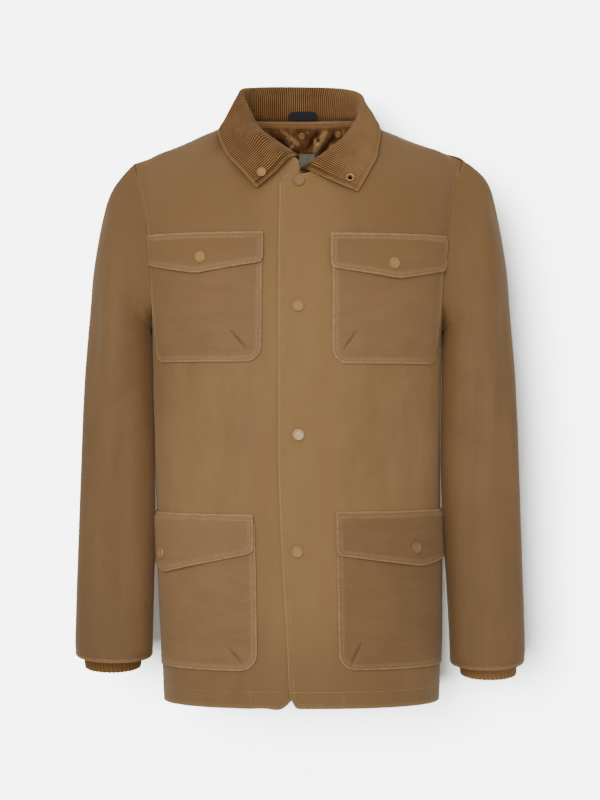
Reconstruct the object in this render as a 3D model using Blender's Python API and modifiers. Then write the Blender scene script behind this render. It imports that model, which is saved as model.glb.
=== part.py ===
"""Waxed field coat in the form it takes when worn, empty inside: shell panels, sleeves, a folded
corduroy collar, rib cuffs, four patch pockets with flaps, snaps, and the back lining that shows.

Lengths below are millimetres. Front faces -Y, up is +Z, and the wearer's left is +X. The origin is
the centre of the neck, level with the neck ends of the shoulder seams.
"""

import math

import bpy
import numpy as np
from mathutils import Vector
from mathutils.bvhtree import BVHTree

MM = 0.001
RIGHT, LEFT = -1, 1  # the wearer's sides, as signs of x

# Walls and the gaps between pieces.
SHELL_WALL = 1.4
SLEEVE_WALL = 1.4
SEAM_GAP = 0.4
ARMHOLE_GAP = 0.5
LAP_INSET = 2.3  # how far the right front passes behind the left one
LAP_START, LAP_END = 58.0, 32.0
LAP_RIGHT = 18.0  # how far the right front reaches past the middle
PLACKET = 24.0
LAP_NECK_DROP = 1.35  # how steeply the right front's neck edge falls away past the middle
UNDERLAP_CUT = 25.0  # where the right front's hem starts to curve up
NECK_END = {RIGHT: -1.0, LEFT: 1.5}  # x of the collar's two ends
SEAM_FOOT = 0.8  # the collar's foot stands this far above the neckline

# The body: a row for each level. half, front and back are the half width and the depths from the
# side line, square is the exponent of the rounded section, seam is how far behind the side line
# the side seam lies, edge is how far the left front laps past the middle, and lean is how far
# the whole level hangs to one side.
LEVEL_COLUMNS = ("z", "half", "front", "back", "square", "seam", "edge", "lean")
LEVELS = (
    (-735.0, 178.5, 126.0, 121.0, 2.5, 46.0, 14.0, 2.0),
    (-650.0, 181.0, 129.0, 123.0, 2.5, 46.0, 17.0, 1.5),
    (-560.0, 182.0, 130.0, 123.0, 2.5, 45.0, 21.0, 0.0),
    (-430.0, 185.0, 131.0, 118.0, 2.45, 42.0, 22.4, -3.5),
    (-320.0, 186.0, 137.0, 122.0, 2.4, 38.0, 22.4, -3.5),
)
ARMHOLE_LEAN, SHOULDER_LEAN = -3.5, -2.0
SHOULDER_TILT = 0.012
FOLD_Y = -58.0  # where the side part of a front ends, ahead of the side line

# The armhole, once round from the shoulder by the front, on the right side with x outwards.
# Columns: x, y, z.
ARMHOLE = {
    "shoulder": (214.5, 2.0, -41.0),
    "front yoke": (204.0, -24.0, -78.0),
    "front chest": (196.0, -43.0, -112.0),
    "front pitch": (190.5, -56.0, -147.0),
    "front turn": (187.0, -63.0, -190.0),
    "front fold": (185.5, -58.0, -226.0),
    "under front": (186.5, -30.0, -252.0),
    "underarm": (187.0, 4.0, -260.0),
    "side seam": (183.5, 37.0, -248.0),
    "back turn": (182.0, 60.0, -215.0),
    "back pitch": (186.0, 72.0, -165.0),
    "back chest": (194.0, 60.0, -115.0),
    "back yoke": (204.0, 34.0, -75.0),
}
ARMHOLE_ORDER = tuple(ARMHOLE)

# Rows of the panels above the underarm: the height, depth and squareness at the middle, and how
# far the row rises between its ends.
# Columns: armhole, z, depth, square, lift.
FRONT_UPPER = (
    ("front fold", -238.0, 140.0, 2.4, 0.0),
    ("front pitch", -158.0, 130.0, 2.3, 6.0),
    ("front yoke", -106.0, 115.0, 1.75, 22.0),
)
BACK_UPPER = (
    ("side seam", -250.0, 127.0, 2.4, 0.0),
    ("back pitch", -150.0, 127.0, 2.3, 6.0),
    ("back yoke", -52.0, 106.0, 1.8, 6.0),
)

# The neckline, right half with x outwards, from the neck point.
NECK_POINT = (82.0, 8.0, 14.0)
FRONT_NECK = {
    RIGHT: ((77.0, -38.0, -9.0), (50.0, -79.0, -36.0), (0.0, -103.0, -54.0)),
    LEFT: ((78.0, -38.0, -10.0), (54.0, -79.0, -42.0), (0.0, -105.0, -66.0)),
}
BACK_NECK = ((74.0, 38.0, 18.0), (42.0, 64.0, 19.5), (0.0, 72.0, 20.0))

# Grid counts of the panels.
SIDE_CELLS, SHOULDER_CELLS, NECK_CELLS = 4, 5, 4
FRONT_ROWS = (2, 2, 3, 2, 2)  # cells between one level and the next, up to the armhole fold
FRONT_UPPER_ROWS = (2, 2, 3)
BACK_ROWS = (2, 2, 3, 2, 2)
BACK_UPPER_ROWS = (2, 2, 3)
HEM_RADIUS_LEFT, HEM_RADIUS_RIGHT, TOP_RADIUS = 14.0, 15.0, 8.0

# The sleeves: a ring for each row. outer and inner are distances from the middle of the coat,
# middle and depth place the ring front to back, and the ring slopes from z_outer to z_inner.
# Columns: z_outer, z_inner, outer, inner, middle, depth.
SLEEVE = (
    (-676.0, -678.0, 290.0, 192.5, -14.0, 96.0),
    (-610.0, -610.0, 288.6, 190.5, -10.0, 101.0),
    (-532.0, -532.0, 287.0, 188.2, -5.0, 110.0),
    (-430.0, -430.0, 284.3, 187.4, 0.0, 123.0),
    (-340.0, -345.0, 281.0, 188.2, 4.0, 136.0),
    (-228.0, -296.0, 272.0, 188.6, 6.0, 148.0),
    (-142.0, -270.0, 261.8, 188.6, 7.0, 146.0),
)
SLEEVE_SQUARE = 2.15
SLEEVE_ROWS = (2, 2, 2, 2, 2, 2, 2, 2)
CAP_BULGE, CAP_RISE, CAP_SPREAD, CAP_FORWARD = 10.5, 0.66, 0.75, 0.25  # the sleeve head
LIP_TILT = 0.15  # how much lower the front of the sleeve's hem hangs
SLEEVE_DROP = {RIGHT: 0.0, LEFT: 9.5}

# Rib cuffs: the first ring meets the sleeve's inside this far above its hem, and the others
# narrow to the wrist, z from the hem.
CUFF_TOP, CUFF_GAP = 42.0, 1.0
# Columns: z, width, depth.
CUFF = ((22.0, 76.0, 74.0), (-18.0, 74.0, 72.0))
CUFF_RIBS, CUFF_PLAIN, CUFF_WALL, CUFF_RIB = 80, 40, 2.4, 0.5
CUFF_OFFSET = 1.5  # the cuff hangs this much nearer the outside of the sleeve

# The collar, from the right front end round the back to the left front end: the roll line and
# the leaf's edge at each station. The seam follows the neckline.
# Columns: along, roll, leaf.
COLLAR = (
    (0.0, (-1.0, -99.0, -41.0), (-54.0, -111.0, -83.5)),
    (0.09, (-26.0, -79.0, -23.5), (-72.0, -100.0, -62.0)),
    (0.19, (-50.0, -48.0, -2.0), (-95.0, -66.0, -34.0)),
    (0.28, (-66.5, -14.0, 29.0), (-106.0, -20.0, -1.0)),
    (0.34, (-75.5, 14.0, 53.0), (-97.0, 14.0, 13.0)),
    (0.42, (-58.0, 52.0, 63.0), (-78.0, 70.0, 6.0)),
    (0.5, (0.0, 80.0, 67.0), (0.0, 107.0, 0.0)),
    (0.58, (60.0, 52.0, 61.0), (79.0, 70.0, 4.0)),
    (0.66, (80.0, 14.0, 46.0), (98.0, 14.0, 13.0)),
    (0.73, (75.0, -16.0, 19.0), (104.5, -19.0, 0.0)),
    (0.81, (57.0, -51.0, -11.0), (99.0, -60.0, -37.0)),
    (0.91, (28.0, -82.0, -38.0), (87.0, -88.0, -65.0)),
    (1.0, (0.0, -100.0, -57.5), (72.0, -108.0, -90.0)),
)
COLLAR_STATIONS = ((0.0, 0.34), (0.34, 0.66), (0.66, 1.0))  # right front, back, left front
COLLAR_WALES, WALES_PER_PLAIN, COLLAR_WALL, WALE = 128, 2, 2.6, 0.45
ROLL_RADIUS, ROLL_SHARE = 4.6, 0.42  # the roll's radius, and its most as a share of the height
LEAF_CLEAR, LEAF_BULGE, FOOT_BACK = 0.7, 1.5, 0.3

# Pockets and flaps on the fronts, in each front's flat pattern: distance from the middle of the
# coat along the cloth, and height. point is the lowest point of a flap.
# Columns: inner, outer, top, bottom, radius.
BAGS = {
    "pocket_upper_right": (RIGHT, (44.5, 213.0, -150.0, -302.0, 20.0)),
    "pocket_upper_left": (LEFT, (43.5, 206.0, -152.0, -304.5, 20.0)),
    "pocket_lower_right": (RIGHT, (55.0, 296.0, -503.0, -689.0, 22.0)),
    "pocket_lower_left": (LEFT, (46.5, 273.0, -502.0, -688.0, 22.0)),
}
FLAP_COLUMNS = ("inner", "outer", "top", "side", "point_along", "point_z")
FLAPS = {
    "flap_upper_right": (RIGHT, (43.5, 215.0, -139.5, -178.0, 129.0, -192.0)),
    "flap_upper_left": (LEFT, (41.0, 210.0, -141.0, -185.0, 127.0, -198.5)),
    "flap_lower_right": (RIGHT, (57.0, 298.0, -492.5, -541.0, 190.0, -569.0)),
    "flap_lower_left": (LEFT, (47.0, 275.0, -489.0, -544.0, 159.0, -560.0)),
}
LAY_GAP, BAG_WALL, BAG_BULGE = 0.4, 1.2, 2.2
FLAP_WALL, FLAP_GAP, FLAP_CORNER = 1.3, 0.5, 9.0
FLAP_STEP = 9.0  # how far below its top edge a flap has risen over the bag
FLAT_ENOUGH = 0.3  # a cell more twisted than this is cut as two triangles

# Snaps: the piece each one sits on, where it is seen from the front (x, z), and its width.
SNAP_HEIGHT, SNAP_SIDES, SNAP_GAP = 2.4, 10, 0.35
SNAP_PROFILE = ((0.0, 0.0), (1.0, 0.0), (0.98, 0.65), (0.82, 1.0), (0.7, 0.8), (0.0, 0.8))
SNAPS = {
    "snap_front_1": ("front_left", -1.3, -73.5, 15.0),
    "snap_front_2": ("front_left", -2.5, -232.0, 15.0),
    "snap_front_3": ("front_left", -1.9, -392.7, 15.0),
    "snap_front_4": ("front_left", -3.7, -539.0, 15.0),
    "snap_upper_right": ("flap_upper_right", -124.4, -170.6, 14.5),
    "snap_upper_left": ("flap_upper_left", 117.6, -178.3, 14.5),
    "snap_lower_right": ("flap_lower_right", -176.0, -544.0, 14.5),
    "snap_lower_left": ("flap_lower_left", 146.2, -535.7, 14.5),
    "snap_collar": ("collar", -48.5, -63.5, 12.0),
}
LINING_SNAPS = {"snap_lining_middle": (2.7, 2.0), "snap_lining_left": (52.0, 3.0)}
LINING_SNAP_WIDTH = 9.0
EYELET_AT, EYELET_WIDTH, EYELET_HOLE, EYELET_HEIGHT, EYELET_SIDES = (63.0, -70.5), 11.0, 5.0, 1.6, 12

# The lining that shows inside the neck, the label on it and the locker loop.
LINING_WALL, LINING_GAP, LINING_HALF, LINING_BOTTOM = 1.0, 0.5, 92.0, -112.0
LABEL_MIDDLE, LABEL_WIDTH, LABEL_TOP, LABEL_BOTTOM, LABEL_WALL = 9.5, 25.0, -20.0, -52.0, 1.0
LOOP_MIDDLE, LOOP_WIDTH, LOOP_HEIGHT, LOOP_WALL = 4.0, 37.0, 11.5, 1.3
LOOP_FOOT, LOOP_DEPTH, LOOP_CURVE, LOOP_CORNER, LOOP_BULGE = 21.5, 67.0, 70.0, 1.6, 1.0
LOOP_ROWS = ((0.0, 0.0), (0.45, 0.0), (0.8, 0.03), (1.0, 0.1))  # share of the height, narrowing

MATERIALS = {
    "waxed cloth": ((0.27, 0.155, 0.062), 0.62, 0.0),
    "corduroy": ((0.19, 0.092, 0.028), 0.85, 0.0),
    "rib knit": ((0.15, 0.075, 0.025), 0.9, 0.0),
    "satin lining": ((0.12, 0.055, 0.02), 0.35, 0.0),
    "label": ((0.32, 0.29, 0.23), 0.7, 0.0),
    "tape": ((0.012, 0.012, 0.016), 0.7, 0.0),
    "snap enamel": ((0.42, 0.26, 0.11), 0.4, 0.3),
    "snap metal": ((0.55, 0.44, 0.3), 0.3, 1.0),
}


def smooth_through(stations, values, wanted):
    """A smooth curve through the values at the stations, read at the wanted places."""
    stations = np.asarray(stations, float)
    values = np.asarray(values, float)
    slopes = np.gradient(values, stations, axis=0)
    wanted = np.clip(np.asarray(wanted, float), stations[0], stations[-1])
    cell = np.clip(np.searchsorted(stations, wanted, side="right") - 1, 0, len(stations) - 2)
    width = stations[cell + 1] - stations[cell]
    shape = (-1,) + (1,) * (values.ndim - 1)
    part = ((wanted - stations[cell]) / width).reshape(shape)
    width = width.reshape(shape)
    start, end = values[cell], values[cell + 1]
    leave, arrive = slopes[cell] * width, slopes[cell + 1] * width
    return (
        start
        + part * leave
        + part**2 * (3.0 * (end - start) - 2.0 * leave - arrive)
        + part**3 * (2.0 * (start - end) + leave + arrive)
    )


def lengths_along(points):
    """The distance run along a line of points, up to each."""
    steps = np.linalg.norm(np.diff(points, axis=0), axis=1)
    return np.concatenate([[0.0], np.cumsum(steps)])


def ease(value):
    """Rises smoothly from 0 to 1 as the value does."""
    value = np.clip(value, 0.0, 1.0)
    return value * value * (3.0 - 2.0 * value)


def level_values(name):
    return [row[LEVEL_COLUMNS.index(name)] for row in LEVELS]


def section(half, depth, square, angle):
    """Points of a rounded section at angles from the side line, towards the front."""
    cosine, sine = np.cos(angle), np.sin(angle)
    x = half * np.sign(cosine) * np.abs(cosine) ** (2.0 / square)
    y = -depth * np.sign(sine) * np.abs(sine) ** (2.0 / square)
    return x, y


def armhole_point(name, side):
    x, y, z = ARMHOLE[name]
    return np.array((side * x, y, z))


def armhole_curve(names, side, count):
    """Points along the armhole from the first name to the last, evenly spread."""
    loop = np.array([armhole_point(name, side) for name in ARMHOLE_ORDER * 3])
    places = np.arange(len(loop), dtype=float)
    first = ARMHOLE_ORDER.index(names[0]) + len(ARMHOLE)
    last = ARMHOLE_ORDER.index(names[1]) + len(ARMHOLE)
    if last <= first and names[0] != names[1]:
        last += len(ARMHOLE)
    fine = smooth_through(places, loop, np.linspace(first, last, 241))
    run = lengths_along(fine)
    wanted = np.linspace(0.0, run[-1], count)
    return np.stack([np.interp(wanted, run, fine[:, axis]) for axis in range(3)], axis=1)


class Panel:
    """A grid of cloth: points by row and column, its flat pattern, and which cells exist."""

    def __init__(self, points, flat, cells):
        self.points, self.flat, self.cells = points, flat, cells
        self.normals = None

    def faces(self, side):
        """The cells as corner numbers, facing out."""
        rows, columns = self.points.shape[:2]
        faces = []
        for i in range(rows - 1):
            for j in range(columns - 1):
                if self.cells[i, j]:
                    a = i * columns + j
                    face = (a, a + 1, a + columns + 1, a + columns)
                    faces.append(face if side == RIGHT else turned(face))
        return faces


def normals_of(points, faces):
    """Smooth normals at the points of a surface."""
    total = np.zeros_like(points)
    for face in faces:
        corners = points[list(face)]
        middle = corners.mean(axis=0)
        around = corners - middle
        face_normal = np.cross(around, np.roll(around, -1, axis=0)).sum(axis=0)
        total[list(face)] += face_normal
    size = np.linalg.norm(total, axis=1, keepdims=True)
    return total / np.maximum(size, 1e-12)


def settle(points):
    """Lets the coat hang as shown: a little to one side, with the left shoulder higher."""
    points = np.array(points, float)
    heights = level_values("z") + [-240.0, -41.0, 60.0]
    leans = level_values("lean") + [ARMHOLE_LEAN, SHOULDER_LEAN, 0.0]
    lean = np.interp(points[..., 2], heights, leans)
    near = 1.0 - ease((np.abs(points[..., 0]) - 200.0) / 70.0)
    high = ease((points[..., 2] + 200.0) / 150.0) * ease((np.abs(points[..., 0]) - 90.0) / 100.0)
    points[..., 2] += SHOULDER_TILT * points[..., 0] * high
    points[..., 0] += lean * near
    return points


def material_for(name):
    found = bpy.data.materials.get(name)
    if found:
        return found
    colour, roughness, metallic = MATERIALS[name]
    made = bpy.data.materials.new(name)
    made.use_nodes = True
    shader = made.node_tree.nodes["Principled BSDF"]
    shader.inputs["Base Color"].default_value = (*colour, 1.0)
    shader.inputs["Roughness"].default_value = roughness
    shader.inputs["Metallic"].default_value = metallic
    made.diffuse_color = (*colour, 1.0)
    return made


def add_object(name, points, faces, material, edges=()):
    mesh = bpy.data.meshes.new(name)
    places = [tuple(point * MM) for point in points]
    mesh.from_pydata(places, edges, [tuple(map(int, face)) for face in faces])
    mesh.materials.append(material_for(material))
    made = bpy.data.objects.new(name, mesh)
    coat.objects.link(made)
    return made


def rim_edges(faces):
    """The directed edges of the surface that only one face has."""
    edges = {(f[k], f[(k + 1) % len(f)]) for f in faces for k in range(len(f))}
    return [edge for edge in edges if edge[::-1] not in edges]


def turned(face):
    """A face that looks the other way, and that splits into the same two triangles."""
    return (face[0], *face[:0:-1])


def add_wall(name, outer, inner, faces, material):
    """A closed wall between an outer surface and an inner one with the same faces."""
    count = len(outer)
    walls = list(faces)
    walls += [tuple(corner + count for corner in turned(face)) for face in faces]
    walls += [(b, a, a + count, b + count) for a, b in sorted(rim_edges(faces))]
    used = sorted({corner for face in walls for corner in face})
    number = {corner: k for k, corner in enumerate(used)}
    points = np.concatenate([outer, inner])[used]
    return add_object(name, points, [[number[c] for c in face] for face in walls], material)


# ---- the body's panels ----


def level_row(level, side, front, columns_at):
    """One row of a panel below the armhole: points at the wanted distances along the cloth."""
    row = dict(zip(LEVEL_COLUMNS, level))
    fine = np.radians(np.linspace(-90.0, 180.0, 1081))
    depth = np.where(fine > 0.0, row["front"], row["back"])
    x, y = section(row["half"], depth, row["square"], fine)
    line = np.stack([x, y, np.full_like(x, row["z"])], axis=1)
    along = lengths_along(line)
    middle = np.interp(math.pi / 2.0, fine, along) if front else 0.0
    distance = middle - along if front else along
    if front:
        line, distance = line[::-1], distance[::-1]
    seam_at = distance_where(line, distance, row["seam"], front)
    wanted = columns_at(seam_at, distance_where(line, distance, FOLD_Y, front), row["edge"])
    found = np.stack([np.interp(wanted, distance, line[:, axis]) for axis in range(3)], axis=1)
    found[:, 0] *= side
    return found, wanted


def distance_where(line, distance, y, front):
    """The distance along the cloth at which the near half of the section reaches y."""
    near = line[:, 0] > 0.0
    order = np.argsort(line[near, 1])
    return float(np.interp(y, line[near, 1][order], distance[near][order]))


def upper_row(row, side, front, fractions, beyond):
    """A row between the armhole and the middle, then on past it for the lap."""
    name, z, depth, square, lift = row
    edge = np.array(ARMHOLE[name])
    start = math.asin(min(1.0, (abs(edge[1]) / depth) ** (square / 2.0)))
    half = edge[0] / math.cos(start) ** (2.0 / square)
    angle = np.linspace(start, math.radians(150.0), 721)
    x, y = section(half, depth, square, angle)
    if not front:
        y = -y
    middle = int(np.argmin(np.abs(angle - math.pi / 2.0)))
    line = np.stack([x, y, np.zeros_like(x)], axis=1)
    along = lengths_along(line)
    whole = along[middle]
    wanted = np.concatenate([fractions * whole, whole + beyond])
    found = np.stack([np.interp(wanted, along, line[:, axis]) for axis in range(3)], axis=1)
    share = 1.0 - np.abs(1.0 - wanted / whole)
    found[:, 2] = edge[2] + (z - edge[2]) * ease(share) + lift * np.sin(math.pi * share) ** 2
    found[:, 0] *= side
    return found, whole - wanted


def top_row(side, front, past):
    """The shoulder seam from the armhole to the neck point, then the neckline and the lap."""
    shoulder = np.array(ARMHOLE["shoulder"])
    neck = np.array(NECK_POINT)
    share = np.linspace(0.0, 1.0, SHOULDER_CELLS + 1)[:, None]
    seam = shoulder + (neck - shoulder) * share
    seam[:, 2] -= 2.0 * np.sin(math.pi * share[:, 0])
    turns = FRONT_NECK[side] if front else BACK_NECK
    mirrored = np.array(turns[1]) * (-1.0, 1.0, 1.0)
    line = np.array([neck, *turns, mirrored])
    fine = smooth_through(np.arange(len(line)), line, np.linspace(0.0, len(turns), 121))
    along = lengths_along(fine)
    whole = along[-1]
    stops = np.linspace(0.0, whole - (PLACKET if front else 0.0), NECK_CELLS + 1)
    if front:
        stops = np.append(stops, whole - past[0])
    around = np.stack([np.interp(stops, along, fine[:, axis]) for axis in range(3)], axis=1)
    row = np.concatenate([seam[:-1], around])
    if front:
        drop = LAP_NECK_DROP if side == RIGHT else 0.0
        beyond = [fine[-1] + (reach, 0.0, drop * (reach - past[0])) for reach in past[1:]]
        row = np.concatenate([row, beyond])
    row[:, 0] *= side
    return row


def column_heights(keys, ghost, counts):
    """Rows through the key rows, column by column. The ghost row leads the last slope."""
    keys = np.array([*keys, ghost])
    steps = np.linalg.norm(np.diff(keys, axis=0), axis=2).mean(axis=1)
    stations = np.concatenate([[0.0], np.cumsum(steps)])
    wanted = [
        np.linspace(stations[k], stations[k + 1], count, endpoint=False)
        for k, count in enumerate(counts)
    ]
    wanted = np.concatenate([*wanted, [stations[len(counts)]]])
    return smooth_through(stations, keys, wanted)


def front_stops(edge):
    """Distances from the middle of the coat at which a front's lap columns stand."""
    return np.array([7.0, -edge + 14.0, -edge + 6.5, -edge])


def build_front(side):
    """A front: a side part under the armhole, and a chest part up to the shoulder and neck."""
    cells = SHOULDER_CELLS + NECK_CELLS

    def columns_at(seam, fold, edge):
        chest = np.linspace(fold, PLACKET, cells + 1)
        stops = front_stops(edge if side == LEFT else LAP_RIGHT)
        return np.concatenate([np.linspace(seam, fold, SIDE_CELLS + 1)[:-1], chest, stops])

    rows, flats = zip(*[level_row(level, side, True, columns_at) for level in LEVELS])
    stops = front_stops(edge_at(0.0) if side == LEFT else LAP_RIGHT)
    upper, upper_flats = [], []
    for row in FRONT_UPPER:
        whole = upper_row(row, side, True, np.array([0.0]), np.array([]))[1][0]
        fractions = 1.0 - np.linspace(whole, PLACKET, cells + 1) / whole
        found, flat = upper_row(row, side, True, fractions, -stops)
        upper.append(found)
        upper_flats.append(flat)
    under = armhole_curve(("front fold", "side seam"), side, SIDE_CELLS + 1)[::-1]
    run = lengths_along(under)
    under_flat = upper_flats[0][0] + run[-1] - run
    joined = np.concatenate([under[:-1], upper[0]])
    top = top_row(side, True, stops)

    lower_ghost = joined + (joined - rows[-1]) * 0.6
    lower = column_heights([*rows, joined], lower_ghost, FRONT_ROWS)
    ghost = ghost_row(top, upper[-1], BACK_UPPER[-1], side, False)
    chest_keys = [row[SIDE_CELLS:] for row in rows] + upper + [top]
    chest = column_heights(chest_keys, ghost, FRONT_ROWS + FRONT_UPPER_ROWS)
    fold_row = sum(FRONT_ROWS)
    points = np.full((len(chest), len(joined), 3), np.nan)
    points[: fold_row + 1] = lower
    points[:, SIDE_CELLS:] = chest
    edge = armhole_curve(("shoulder", "front fold"), side, sum(FRONT_UPPER_ROWS) + 1)[::-1]
    points[fold_row:, SIDE_CELLS] = edge

    places = np.concatenate([[0], np.cumsum(FRONT_ROWS + FRONT_UPPER_ROWS)])
    flat = np.full(points.shape[:2] + (2,), np.nan)
    whole_rows = [f[SIDE_CELLS:] for f in flats] + upper_flats + [upper_flats[-1]]
    side_rows = [f[:SIDE_CELLS] for f in flats] + [under_flat[:-1]]
    for j in range(SIDE_CELLS):
        known = [row[j] for row in side_rows]
        flat[: fold_row + 1, j, 0] = np.interp(np.arange(fold_row + 1), places[: len(known)], known)
    for j in range(chest.shape[1]):
        known = [row[j] for row in whole_rows]
        flat[:, SIDE_CELLS + j, 0] = np.interp(np.arange(len(points)), places, known)
    there = np.ones((points.shape[0] - 1, points.shape[1] - 1), bool)
    there[fold_row:, :SIDE_CELLS] = False

    round_corners(points, flat[..., 0], side)
    points[: fold_row + 1, 0, 1] -= SEAM_GAP / 2.0
    points[-1, SIDE_CELLS : SIDE_CELLS + SHOULDER_CELLS + 1, 1] -= SEAM_GAP / 2.0
    flat[..., 1] = points[..., 2]
    panel = Panel(points, flat, there)
    if side == RIGHT:
        tuck_lap(panel)
    panel.points = settle(panel.points)
    return panel


def ghost_row(top, below, row, side, front):
    """The row beyond the top edge that leads the cloth over the shoulder to the other panel."""
    cells = SHOULDER_CELLS + NECK_CELLS
    beyond, _ = upper_row(row, side, front, np.linspace(0.0, 1.0, cells + 1), np.array([]))
    ghost = top + (top - below) * 0.5
    share = np.linspace(1.0, 0.8, SHOULDER_CELLS)[:, None]
    ghost[:SHOULDER_CELLS] = beyond[:SHOULDER_CELLS] * share + ghost[:SHOULDER_CELLS] * (1.0 - share)
    return ghost


def arc_drop(reach, radius):
    """How far a rounded corner has left its edge, at this reach into it."""
    reach = min(max(0.0, reach), radius)
    return radius - math.sqrt(radius**2 - reach**2)


def round_corners(points, along, side):
    """Rounds the lap's corners at the hem and, on the left front, at the neck."""
    for j in range(SIDE_CELLS, points.shape[1]):
        if side == LEFT:
            from_edge = along[0, j] + LEVELS[0][LEVEL_COLUMNS.index("edge")]
            points[0, j, 2] += arc_drop(HEM_RADIUS_LEFT - from_edge, HEM_RADIUS_LEFT)
            from_edge = along[-1, j] + edge_at(0.0)
            points[-1, j, 2] -= arc_drop(TOP_RADIUS - from_edge, TOP_RADIUS)
        else:
            reach = UNDERLAP_CUT - along[0, j]
            slope = 0.2 * max(0.0, reach - HEM_RADIUS_RIGHT)
            points[0, j, 2] += arc_drop(reach, HEM_RADIUS_RIGHT) + slope


def edge_at(z):
    """How far the left front laps past the middle at this height."""
    return float(np.interp(z, level_values("z"), level_values("edge")))


def tuck_lap(panel):
    """Passes the middle of the right front behind the left one."""
    rows, columns = panel.points.shape[:2]
    points = np.nan_to_num(panel.points.reshape(-1, 3))
    normals = normals_of(points, panel.faces(RIGHT)).reshape(rows, columns, 3)
    along = np.nan_to_num(panel.flat[..., 0], nan=1000.0)
    depth = LAP_INSET * ease((LAP_START - along) / (LAP_START - LAP_END))
    panel.points = panel.points - normals * depth[..., None]


def build_back(fronts):
    """The back, from one side seam over the shoulder blades to the other."""
    cells = SHOULDER_CELLS + NECK_CELLS
    halves = []
    fold_row = sum(BACK_ROWS)
    for side in (RIGHT, LEFT):

        def columns_at(seam, fold, edge):
            return np.linspace(seam, 0.0, cells + 1)

        rows = [level_row(level, side, False, columns_at)[0] for level in LEVELS]
        fractions = np.linspace(0.0, 1.0, cells + 1)
        upper = [upper_row(row, side, False, fractions, np.array([]))[0] for row in BACK_UPPER]
        top = top_row(side, False, None)
        ghost = ghost_row(top, upper[-1], FRONT_UPPER[-1], side, True)
        half = column_heights([*rows, *upper, top], ghost, BACK_ROWS + BACK_UPPER_ROWS)
        half[fold_row:, 0] = armhole_curve(("side seam", "shoulder"), side, len(half) - fold_row)
        half[-1, : SHOULDER_CELLS + 1, 1] += SEAM_GAP / 2.0
        half = settle(half)
        half[: fold_row + 1, 0] = fronts[side].points[: fold_row + 1, 0] + (0.0, SEAM_GAP, 0.0)
        halves.append(half)
    points = np.concatenate([halves[0], halves[1][:, -2::-1]], axis=1)
    flat = np.zeros(points.shape[:2] + (2,))
    for i, row in enumerate(points):
        along = lengths_along(row)
        flat[i, :, 0] = along - along[cells]
    flat[..., 1] = points[..., 2]
    return Panel(points, flat, np.ones((points.shape[0] - 1, points.shape[1] - 1), bool))


def find_normals(panel, side):
    points = np.nan_to_num(panel.points.reshape(-1, 3))
    panel.normals = normals_of(points, panel.faces(side)).reshape(panel.points.shape)


def share_normals(fronts, back):
    """Gives both sides of a seam the same normals, so that their edges stay parallel."""
    find_normals(back, LEFT)
    shoulder = SHOULDER_CELLS + 1
    fold_row = sum(FRONT_ROWS) + 1
    for side, front in fronts.items():
        find_normals(front, side)
        behind = back.normals if side == RIGHT else back.normals[:, ::-1]
        pairs = (
            (front.normals[-1, SIDE_CELLS : SIDE_CELLS + shoulder], behind[-1, :shoulder]),
            (front.normals[:fold_row, 0], behind[:fold_row, 0]),
        )
        for first, second in pairs:
            both = first + second
            both /= np.linalg.norm(both, axis=1, keepdims=True)
            first[:] = both
            second[:] = both


def panel_surface(panel, side):
    """The panel's points and faces, and the normals at the points."""
    points = np.nan_to_num(panel.points.reshape(-1, 3))
    return points, panel.faces(side), panel.normals.reshape(-1, 3)


def add_panel(name, panel, side):
    points, faces, normals = panel_surface(panel, side)
    return add_wall(name, points, points - normals * SHELL_WALL, faces, "waxed cloth")


# ---- the sleeves ----


def armhole_edge(side, front, back):
    """The values of the panels round the armhole, from the shoulder by the front."""
    fold_row = sum(FRONT_ROWS)
    half = back if side == RIGHT else back[:, ::-1]
    down = front[fold_row:, SIDE_CELLS][::-1]
    under = front[fold_row, : SIDE_CELLS + 1][::-1]
    up = half[sum(BACK_ROWS) :, 0]
    return np.concatenate([down[:-1], under[:-1], up[:-1]])


def build_sleeve(side, fronts, back):
    """Rings from the hem to the armhole. Its top edge stands a seam's gap off the panels."""
    edge = armhole_edge(side, fronts[side].points, back.points)
    run = lengths_along(np.concatenate([edge, edge[:1]]))
    lowest = int(np.argmin(edge[:, 2]))
    angle = np.interp(run[:-1], [0.0, run[lowest], run[-1]], [0.0, math.pi, 2.0 * math.pi])
    out, turn = np.cos(angle), np.sin(angle)
    rings = []
    for row in SLEEVE:
        z_outer, z_inner, outer, inner, middle, depth = row
        drop = SLEEVE_DROP[side] * ease((-350.0 - z_outer) / 300.0)
        half = (outer - inner) / 2.0
        x = (outer + inner) / 2.0 + half * np.sign(out) * np.abs(out) ** (2.0 / SLEEVE_SQUARE)
        y = middle - depth / 2.0 * np.sign(turn) * np.abs(turn) ** (2.0 / SLEEVE_SQUARE)
        z = (z_outer + z_inner) / 2.0 + (z_outer - z_inner) / 2.0 * out - drop
        if row is SLEEVE[0]:
            z = z + LIP_TILT * (y - middle)
        rings.append(settle(np.stack([side * x, y, z], axis=1)))
    edge = edge + np.array((side * ARMHOLE_GAP, 0.0, 0.0))
    bulge = CAP_BULGE * ((1.0 + out) / 2.0) ** 1.5
    parts = [side * CAP_SPREAD * bulge, -CAP_FORWARD * bulge * turn, CAP_RISE * bulge]
    lift = np.stack(parts, axis=1)
    rings.append(0.5 * (rings[-1] + edge) + lift)
    rings.append(edge)
    ghost = edge + (edge - rings[-2]) * 0.5
    return column_heights(rings, ghost, SLEEVE_ROWS)


def tube_faces(rows, around, flip):
    """Faces of a tube of rings, each with the same number of points."""
    faces = []
    for i in range(rows - 1):
        for j in range(around):
            k = (j + 1) % around
            face = (i * around + j, i * around + k, (i + 1) * around + k, (i + 1) * around + j)
            faces.append(face[::-1] if flip else face)
    return faces


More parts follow.
